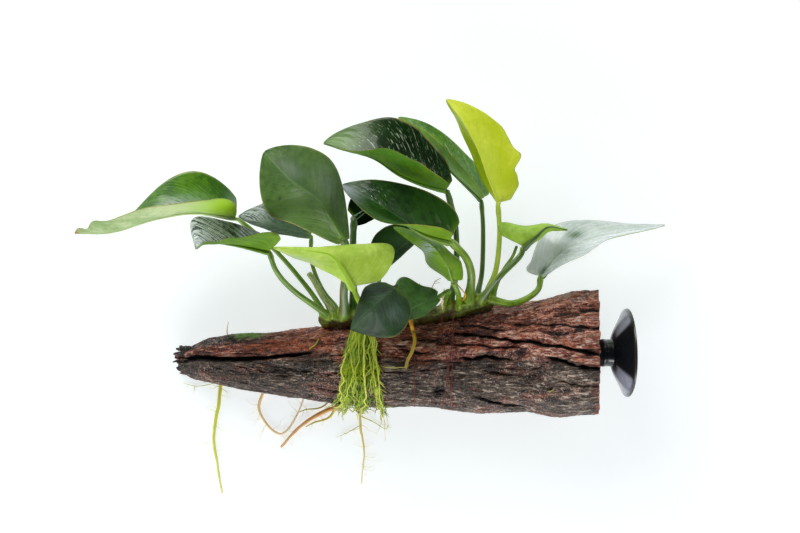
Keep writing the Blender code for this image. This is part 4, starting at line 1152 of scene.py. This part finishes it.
def midrib(blade_name, last):
    """Path and radii of the stalk's run under its blade, from its last radius on."""
    path, radii = [], []
    share = BLADE_LOOKS[blade_name].get("rib", 1.0)
    for row in blade_grid(blade_name)[1:-2]:
        point, up, t, *rest = row[BLADE_HALF_COLUMNS]
        thin = MIDRIB_TIP + (last * share - MIDRIB_TIP) * (1 - t) ** 1.6
        left, right = row[BLADE_HALF_COLUMNS - 7], row[BLADE_HALF_COLUMNS + 7]
        drooping = (left[0] + right[0] - 2 * point).dot(up) < 0
        fold = math.sqrt(2 / max(0.8, 1 + left[1].dot(right[1]))) if drooping else 1.0
        path.append(point - up * (thin * 0.86 * fold + 0.04))
        radii.append(thin)
    return path, radii


def stalk(name, spec, blade_name=None):
    out = outward(math.radians(spec["turn"]))
    foot = stem_middle(spec["x"]) + Vector(STEM_SHIFT) + out * 0.4
    radius = spec["radius"]
    lead = (Vector(spec["via"][0]) - foot).normalized()
    rise = (out * 0.3 + lead * 0.7).normalized() * spec.get("rise", STALK_RISE)
    end = BLADES[blade_name]["rib"][0] if blade_name else spec["end"]
    route = [foot, foot + rise, *spec["via"], end]
    path, radii = [], []
    for i in range(STALK_STEPS + 1):
        share = i / STALK_STEPS
        path.append(along(route, share))
        sheath = 0.5 * (1 - ease(0.06, 0.42, share))
        joint = 0.16 * hill((share - 0.93) / 0.035) if blade_name else 0.0
        closed = math.sqrt(min(1.0, 0.15 + i / 4))
        radii.append(radius * (1.12 - 0.30 * share + sheath + joint) * closed)
    if blade_name:
        more_path, more_radii = midrib(blade_name, radii[-1])
        path[-1:], radii[-1:] = more_path, more_radii
    else:
        radii[-1] *= 0.55
    points, faces = tube(path, radii, STALK_SIDES)
    place = [i / (len(path) - 1) for i in range(len(path)) for k in range(STALK_SIDES)]
    spokes = [(point - path[i // STALK_SIDES]) / radii[i // STALK_SIDES] for i, point in enumerate(points)]
    turned = [-spoke.x for spoke in spokes]
    level = [spoke.z for spoke in spokes]
    for which, (end_share, aside, wide) in enumerate(STALK_SHEATHS):
        last = int(STALK_STEPS * end_share)
        turn = sum(map(ord, name)) * 1.7 + which * 2.4
        shift = Vector((math.cos(turn), math.sin(turn) * 0.4, 0.6)) * radius * aside
        sheath_path = [path[i] + shift * (0.35 + 0.65 * i / last) for i in range(last + 1)]
        sheath_radii = [radius * wide * (1 - (i / last) ** 2.2) * math.sqrt(min(1.0, 0.15 + i / 4)) + 0.12
                        for i in range(last + 1)]
        more_points, more_faces = tube(sheath_path, sheath_radii, STALK_SIDES, first=len(points))
        points += more_points
        faces += more_faces
        place += [0.10 * i / last for i in range(last + 1) for k in range(STALK_SIDES)]
        turned += [0.0] * len(more_points)
        level += [0.5] * len(more_points)
    add_piece(name, points, faces, [stalk_material(name, blade_name)],
              {"place": place, "turned": turned, "level": level})


# Roots

def root_material(name, colours):
    """Foot, middle and tip colours; the shade tells branches, tips and fine rootlets apart."""
    skin = Skin(name, {"Specular IOR Level": 0.4, "Subsurface Weight": 0.15})
    shade = skin.value("shade")
    grain = skin.speckle(1.1, detail=5, roughness=0.65)
    shifted = (skin.value("place") + grain.remap(0.3, 0.7, -0.18, 0.18)).held()
    skin.colour = shifted.ramp(*zip((0.0, 0.5, 1.0), colours))
    skin.paint(shade.remap(0.6, 0.9, 0.0, 0.6), (240, 232, 196))
    skin.paint(shade.remap(0.4, 0.2, 0.0, 0.7), (178, 190, 84))
    skin.paint(shade.remap(0.12, 0.04, 0.0, 0.95), (84, 56, 26))
    skin.paint(grain.remap(0.6, 0.75, 0.0, 0.5), [c * 0.7 for c in colours[0]])
    return skin.finish(grain.remap(0.3, 0.7, 0.4, 0.65), (grain, 0.12))


def strands(name, paths, sides, material, replaces=True):
    """One piece made of many tubes; each has a path, its radii and a shade."""
    points, faces, place, shade = [], [], [], []
    for path, radii, tint in paths:
        tube_points, tube_faces = tube(path, radii, sides, first=len(points))
        points += tube_points
        faces += tube_faces
        place += [i / (len(path) - 1) for i in range(len(path)) for k in range(sides)]
        shade += [tint] * len(tube_points)
    add_piece(name, points, faces, [material], {"place": place, "shade": shade}, replaces=replaces)


def side_roots(rng, path, count, length, lying=True):
    """Short fine rootlets that leave a root on both sides; lying ones come down to the table."""
    made = []
    for j in range(count):
        i = rng.randrange(len(path) // 5, len(path) - 4)
        start = path[i]
        run = (path[i + 1] - path[i - 1]).normalized()
        side = Vector((-run.y, run.x, 0.0)) * rng.choice((-1, 1))
        reach = length * rng.uniform(0.25, 1.0)
        bend = rng.uniform(-0.7, 0.7)
        seed = rng.uniform(0, 100)
        route = []
        for k in range(ROOTLET_STEPS + 1):
            f = k / ROOTLET_STEPS
            sway = Vector((rough(f * 3, seed, 1.0), rough(f * 3, seed, 5.0), 0)) * 1.4
            spot = start + side * reach * f + run * reach * (0.35 * f + bend * f * f) + sway * f
            spot.z = max(0.2, start.z * (1 - f) + 0.3 * f) if lying else start.z + 1.2 * bend * f
            route.append(spot)
        thick = rng.uniform(0.10, 0.17)
        radii = [thick * (1 - 0.6 * k / ROOTLET_STEPS) for k in range(ROOTLET_STEPS + 1)]
        made.append((route, radii, 0.9))
    return made


def loose_roots(rng):
    for name, spec in ROOTS.items():
        path, radii = [], []
        for i in range(ROOT_STEPS + 1):
            share = i / ROOT_STEPS
            sway = Vector((rough(share * 9, spec["radius"], 0), rough(share * 9, spec["radius"], 4), 0)) * 0.5
            path.append(along(spec["route"], share) + sway)
            knot = 1 + 0.14 * rough(share * 16, 2, spec["radius"])
            radii.append(spec["radius"] * 1.2 * (1.0 - 0.55 * share ** 1.4) * knot)
        tubes = [(path, radii, 0.5)] + side_roots(rng, path, *spec["rootlets"])
        for route, size in BRANCH_ROOTS.get(name, []):
            branch = [along(route, i / BRANCH_STEPS) for i in range(BRANCH_STEPS + 1)]
            tubes.append((branch, [size * (1 - 0.6 * i / BRANCH_STEPS) for i in range(BRANCH_STEPS + 1)], 0.2))
            tubes += side_roots(rng, branch, 5, 4.0)
        strands(name, tubes, ROOT_SIDES, root_material(name + "_skin", spec["colours"]))


def on_wood(x, y, lift):
    """Place on the wood's upper side that is seen at x and y."""
    middle, centre_z, half_width, half_height = wood_section(x)
    return wood_skin(x, math.acos((y - middle) / half_width), lift)


def orange_root():
    stem_top = stem_middle(4.5)
    route = [stem_top + Vector((0, 0.5, 2.4)), stem_top + Vector((0.8, -2.6, 3.2))]
    route += [on_wood(x, y, ORANGE_ROOT_RADIUS + 0.3) for x, y in ORANGE_ROOT_PATH]
    shares = [i / ROOT_STEPS for i in range(ROOT_STEPS + 1)]
    path = [along(route, share) for share in shares]
    radii = [ORANGE_ROOT_RADIUS * (1.15 - 0.25 * share + 0.20 * rough(share * 16, 0, 0)) for share in shares]
    material = root_material("root_orange_skin", ORANGE_ROOT_COLOURS)
    strands("root_orange", [(path, radii, 0.5)], ROOT_SIDES, material)


def fine_roots():
    tubes = []
    for route, radius, shade in FINE_ROOTS:
        spots = []
        for i, (x, y, *height) in enumerate(route):
            lift = 0.25 if 0 < i < len(route) - 1 else -0.4
            spots.append(Vector((x, y, height[0])) if height else on_wood(x, y, lift))
        rootlet, radii = [], []
        for i in range(BRANCH_STEPS + 1):
            bend = noise.noise_vector(Vector((i * 0.22, radius * 50, shade))) * 0.35
            rootlet.append(along(spots, i / BRANCH_STEPS) + bend)
            radii.append(radius * (1.15 - 0.75 * i / BRANCH_STEPS))
        tubes.append((rootlet, radii, shade))
        if len(route[0]) > 2 and radius < 0.3:
            tubes += side_roots(random.Random(int(radius * 100)), rootlet, 6, 3.0, lying=False)
    material = root_material("fine_root_skin", ORANGE_ROOT_COLOURS)
    strands("fine_roots", tubes, ROOT_SIDES, material, replaces=False)


def clump_path(rng, tuft):
    """A fibre that leaves the stem, runs over the wood's round and then hangs off its edge."""
    seed = rng.uniform(0, 100)
    aside = rng.gauss(0, 0.55)
    start = tuft["top"] + tuft["spread"] * aside
    end = tuft["foot"] + tuft["fan"] * (0.7 * aside + 0.6 * rng.uniform(-1, 1))
    layer = rng.random()
    reach = rng.choice((rng.uniform(0.5, 0.85), rng.uniform(0.86, 1.0), rng.uniform(0.92, 1.03)))
    if tuft["reach"]:
        reach = rng.uniform(*tuft["reach"])
    path = []
    for i in range(CLUMP_STEPS + 1):
        share = reach * i / CLUMP_STEPS
        sway = 4.8 * rough(share * 3.6, seed, 0.0) * share ** 0.6
        sway += 2.3 * rough(share * 11.0, seed, 8.0) * min(1.0, share * 5.0)
        x = start + (end - start) * share ** tuft["opening"] + sway * tuft["sway"]
        bent = min(share, CLUMP_HANGS_FROM) / CLUMP_HANGS_FROM
        angle = math.radians(CLUMP_FROM_DEG + (CLUMP_TO_DEG - CLUMP_FROM_DEG) * bent)
        lift = 0.7 + layer * 3.0 * math.sin(math.pi * min(share / 0.92, 1.0)) ** 0.7
        lift += 0.5 * rough(share * 7.0, seed, 3.0) + 1.6 * (1 - ease(0.0, 0.12, share))
        spot = wood_skin(x, angle, max(lift, 0.45))
        if share > CLUMP_HANGS_FROM:
            fall = (share - CLUMP_HANGS_FROM) / (1 - CLUMP_HANGS_FROM)
            spot.y -= tuft["past"] * fall * (0.45 + 0.65 * layer)
            spot.z = max(0.5, spot.z - 7.0 * fall * fall)
        path.append(spot)
    return path, layer


def clump_hair(rng, path, i, size):
    """Short thin side root that leaves a fibre at a slant."""
    run = (path[i + 1] - path[i - 1]).normalized()
    side = Vector((rng.choice((-1, 1)), rng.uniform(-0.3, 0.3), rng.uniform(-0.1, 0.6)))
    way = (side.normalized() * 0.7 + run * rng.uniform(0.5, 1.1)).normalized()
    length = rng.choice((rng.uniform(0.8, 2.6), rng.uniform(2.0, 5.5)))
    curl = Vector((rng.uniform(-0.4, 0.4), rng.uniform(-0.6, 0.0), 0.0))
    hair = []
    for f in range(HAIR_STEPS + 1):
        spot = path[i] + way * length * f / HAIR_STEPS + curl * (f / HAIR_STEPS) ** 2
        spot.z = max(0.35, spot.z)
        hair.append(spot)
    radii = [max(0.09, size * 0.62 * (1 - 0.14 * f)) for f in range(HAIR_STEPS + 1)]
    return hair, radii, rng.uniform(0.3, 1.0)


def root_clump(rng):
    tubes = []
    for tuft in CLUMP_TUFTS:
        for j in range(tuft["count"]):
            path, layer = clump_path(rng, tuft)
            size = CLUMP_RADIUS * rng.uniform(0.65, 1.3)
            radii = [size * (0.95 - 0.5 * (i / CLUMP_STEPS) ** 1.5) for i in range(CLUMP_STEPS + 1)]
            # Strands lying lower, nearer the wood, get a darker shade: painted shade among the fibres, partly
            # at random
            tubes.append((path, radii, min(1.0, 0.65 * layer + 0.5 * rng.random())))
            for k in range(rng.randrange(3, 10)):
                tubes.append(clump_hair(rng, path, rng.randrange(CLUMP_STEPS // 5, CLUMP_STEPS - 2), size))
    strands("root_clump", tubes, CLUMP_SIDES, clump_material())


def clump_material():
    skin = Skin("clump_skin", {"Specular IOR Level": 0.45, "Subsurface Weight": 0.2})
    place, shade = skin.value("place"), skin.value("shade")
    grain = skin.speckle(0.8, roughness=0.6)
    # Low shade is dark: painted shade on the strands nearer the wood
    skin.colour = shade.ramp((0.0, (34, 48, 2)), (0.35, (94, 122, 4)), (0.75, (168, 196, 24)),
                             (1.0, (222, 222, 84)))
    skin.paint(place.remap(0.86, 1.0, 0.0, 0.55), (190, 176, 84))
    skin.paint(grain.remap(0.60, 0.74, 0.0, 0.5), (120, 110, 30))
    skin.paint(place.remap(0.0, 0.05, 0.7, 0.0) * shade.remap(0.5, 0.6), (168, 92, 34))
    skin.paint(place.remap(0.78, 0.90) * shade.remap(0.30, 0.20) * 0.9, (176, 98, 40))
    return skin.finish(grain.remap(0.3, 0.7, 0.3, 0.5), (grain, 0.1))


# Tying thread

def tying_thread():
    tubes = []
    for start, end in THREAD_TURNS:
        path = []
        for i in range(THREAD_STEPS + 1):
            angle = 2 * math.pi * i / THREAD_STEPS
            x = start + (end - start) * (0.5 - 0.5 * math.cos(angle))
            spot = wood_skin(x, angle, 0.35)
            middle, centre_z, half_width, half_height = wood_section(x)
            centre = Vector((x, middle, centre_z))
            out = outward(angle)
            away = stem_middle(x) - centre
            gap = abs(out.cross(away).x)
            over_stem = STEM_FROM_X < x < STEM_TO_X and out.dot(away) > 0 and gap < STEM_REACH + 0.6
            if over_stem:
                reach = out.dot(away) + math.sqrt((STEM_REACH + 0.6) ** 2 - gap * gap)
                if reach > (spot - centre).dot(out):
                    spot = centre + out * reach
            spot.z = max(spot.z, 0.25)
            path.append(spot)
        tubes.append((path, [THREAD_RADIUS] * len(path), 0.5))
    strands("tying_thread", tubes, THREAD_SIDES, root_material("thread_cotton", THREAD_COLOURS))


# Stage

def sky_world():
    """Surroundings that are bright near the horizon and dim overhead."""
    world = bpy.data.worlds.new("studio")
    world.use_nodes = True
    tree = world.node_tree
    sky = tree.nodes["Background"]
    sky.inputs["Color"].default_value = (*SKY_COLOUR, 1.0)
    height = node(tree, "SeparateXYZ", {0: node(tree, "TexCoord")}, output=2)
    height.remap(0.10, 0.75, SKY_LOW, SKY_HIGH).join(sky.inputs["Strength"])
    bpy.context.scene.world = world


def stage():
    half = FLOOR_SIDE / 2 * MM
    mesh = bpy.data.meshes.new("floor")
    corners = [(-half, -half, 0), (half, -half, 0), (half, half, 0), (-half, half, 0)]
    mesh.from_pydata(corners, [], [(0, 1, 2, 3)])
    skin = Skin("floor_pale", {"Roughness": 0.9, "Specular IOR Level": 0.1, "Emission Strength": FLOOR_GLOW,
                               "Emission Color": FLOOR_GLOW_COLOUR})
    cloud = skin.speckle(0.002, detail=1)
    skin.mix(cloud, (186, 190, 192), (190, 194, 196)).join(skin.shader.inputs["Base Color"])
    mesh.materials.append(skin.material)
    floor = add_object("floor", mesh)
    for spec in LIGHTS:
        lamp = bpy.data.lights.new(spec["name"], "AREA")
        lamp.shape = "RECTANGLE"
        lamp.size, lamp.size_y = (side * MM for side in spec["sides"])
        lamp.energy = spec["power"]
        lamp.color = LIGHT_COLOUR
        holder = add_object(spec["name"], lamp)
        holder.location = Vector(spec["place"]) * MM
        aim = Vector(spec["aim"]) * MM - holder.location
        holder.rotation_euler = aim.to_track_quat("-Z", "Y").to_euler()
    sky_world()
    camera = bpy.data.cameras.new("camera")
    camera.lens = CAMERA_LENS
    camera.sensor_width = CAMERA_SENSOR
    camera.clip_start = 0.01
    holder = add_object("camera", camera)
    holder.location = Vector(CAMERA_PLACE) * MM
    bpy.context.scene.camera = holder
    bpy.context.scene.view_settings.view_transform = "Standard"


def main():
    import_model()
    rng = random.Random(RANDOM_SEED)
    noise.seed_set(NOISE_SEED)
    stage()
    driftwood()
    suction_cup()
    creeping_stem()
    for name in BLADES:
        leaf_blade(name)
        stalk_name = name.replace("blade", "stalk")
        stalk(stalk_name, STALKS[stalk_name], name)
    for name, spec in BARE_STALKS.items():
        stalk(name, spec)
    loose_roots(rng)
    orange_root()
    fine_roots()
    root_clump(rng)
    tying_thread()


main()
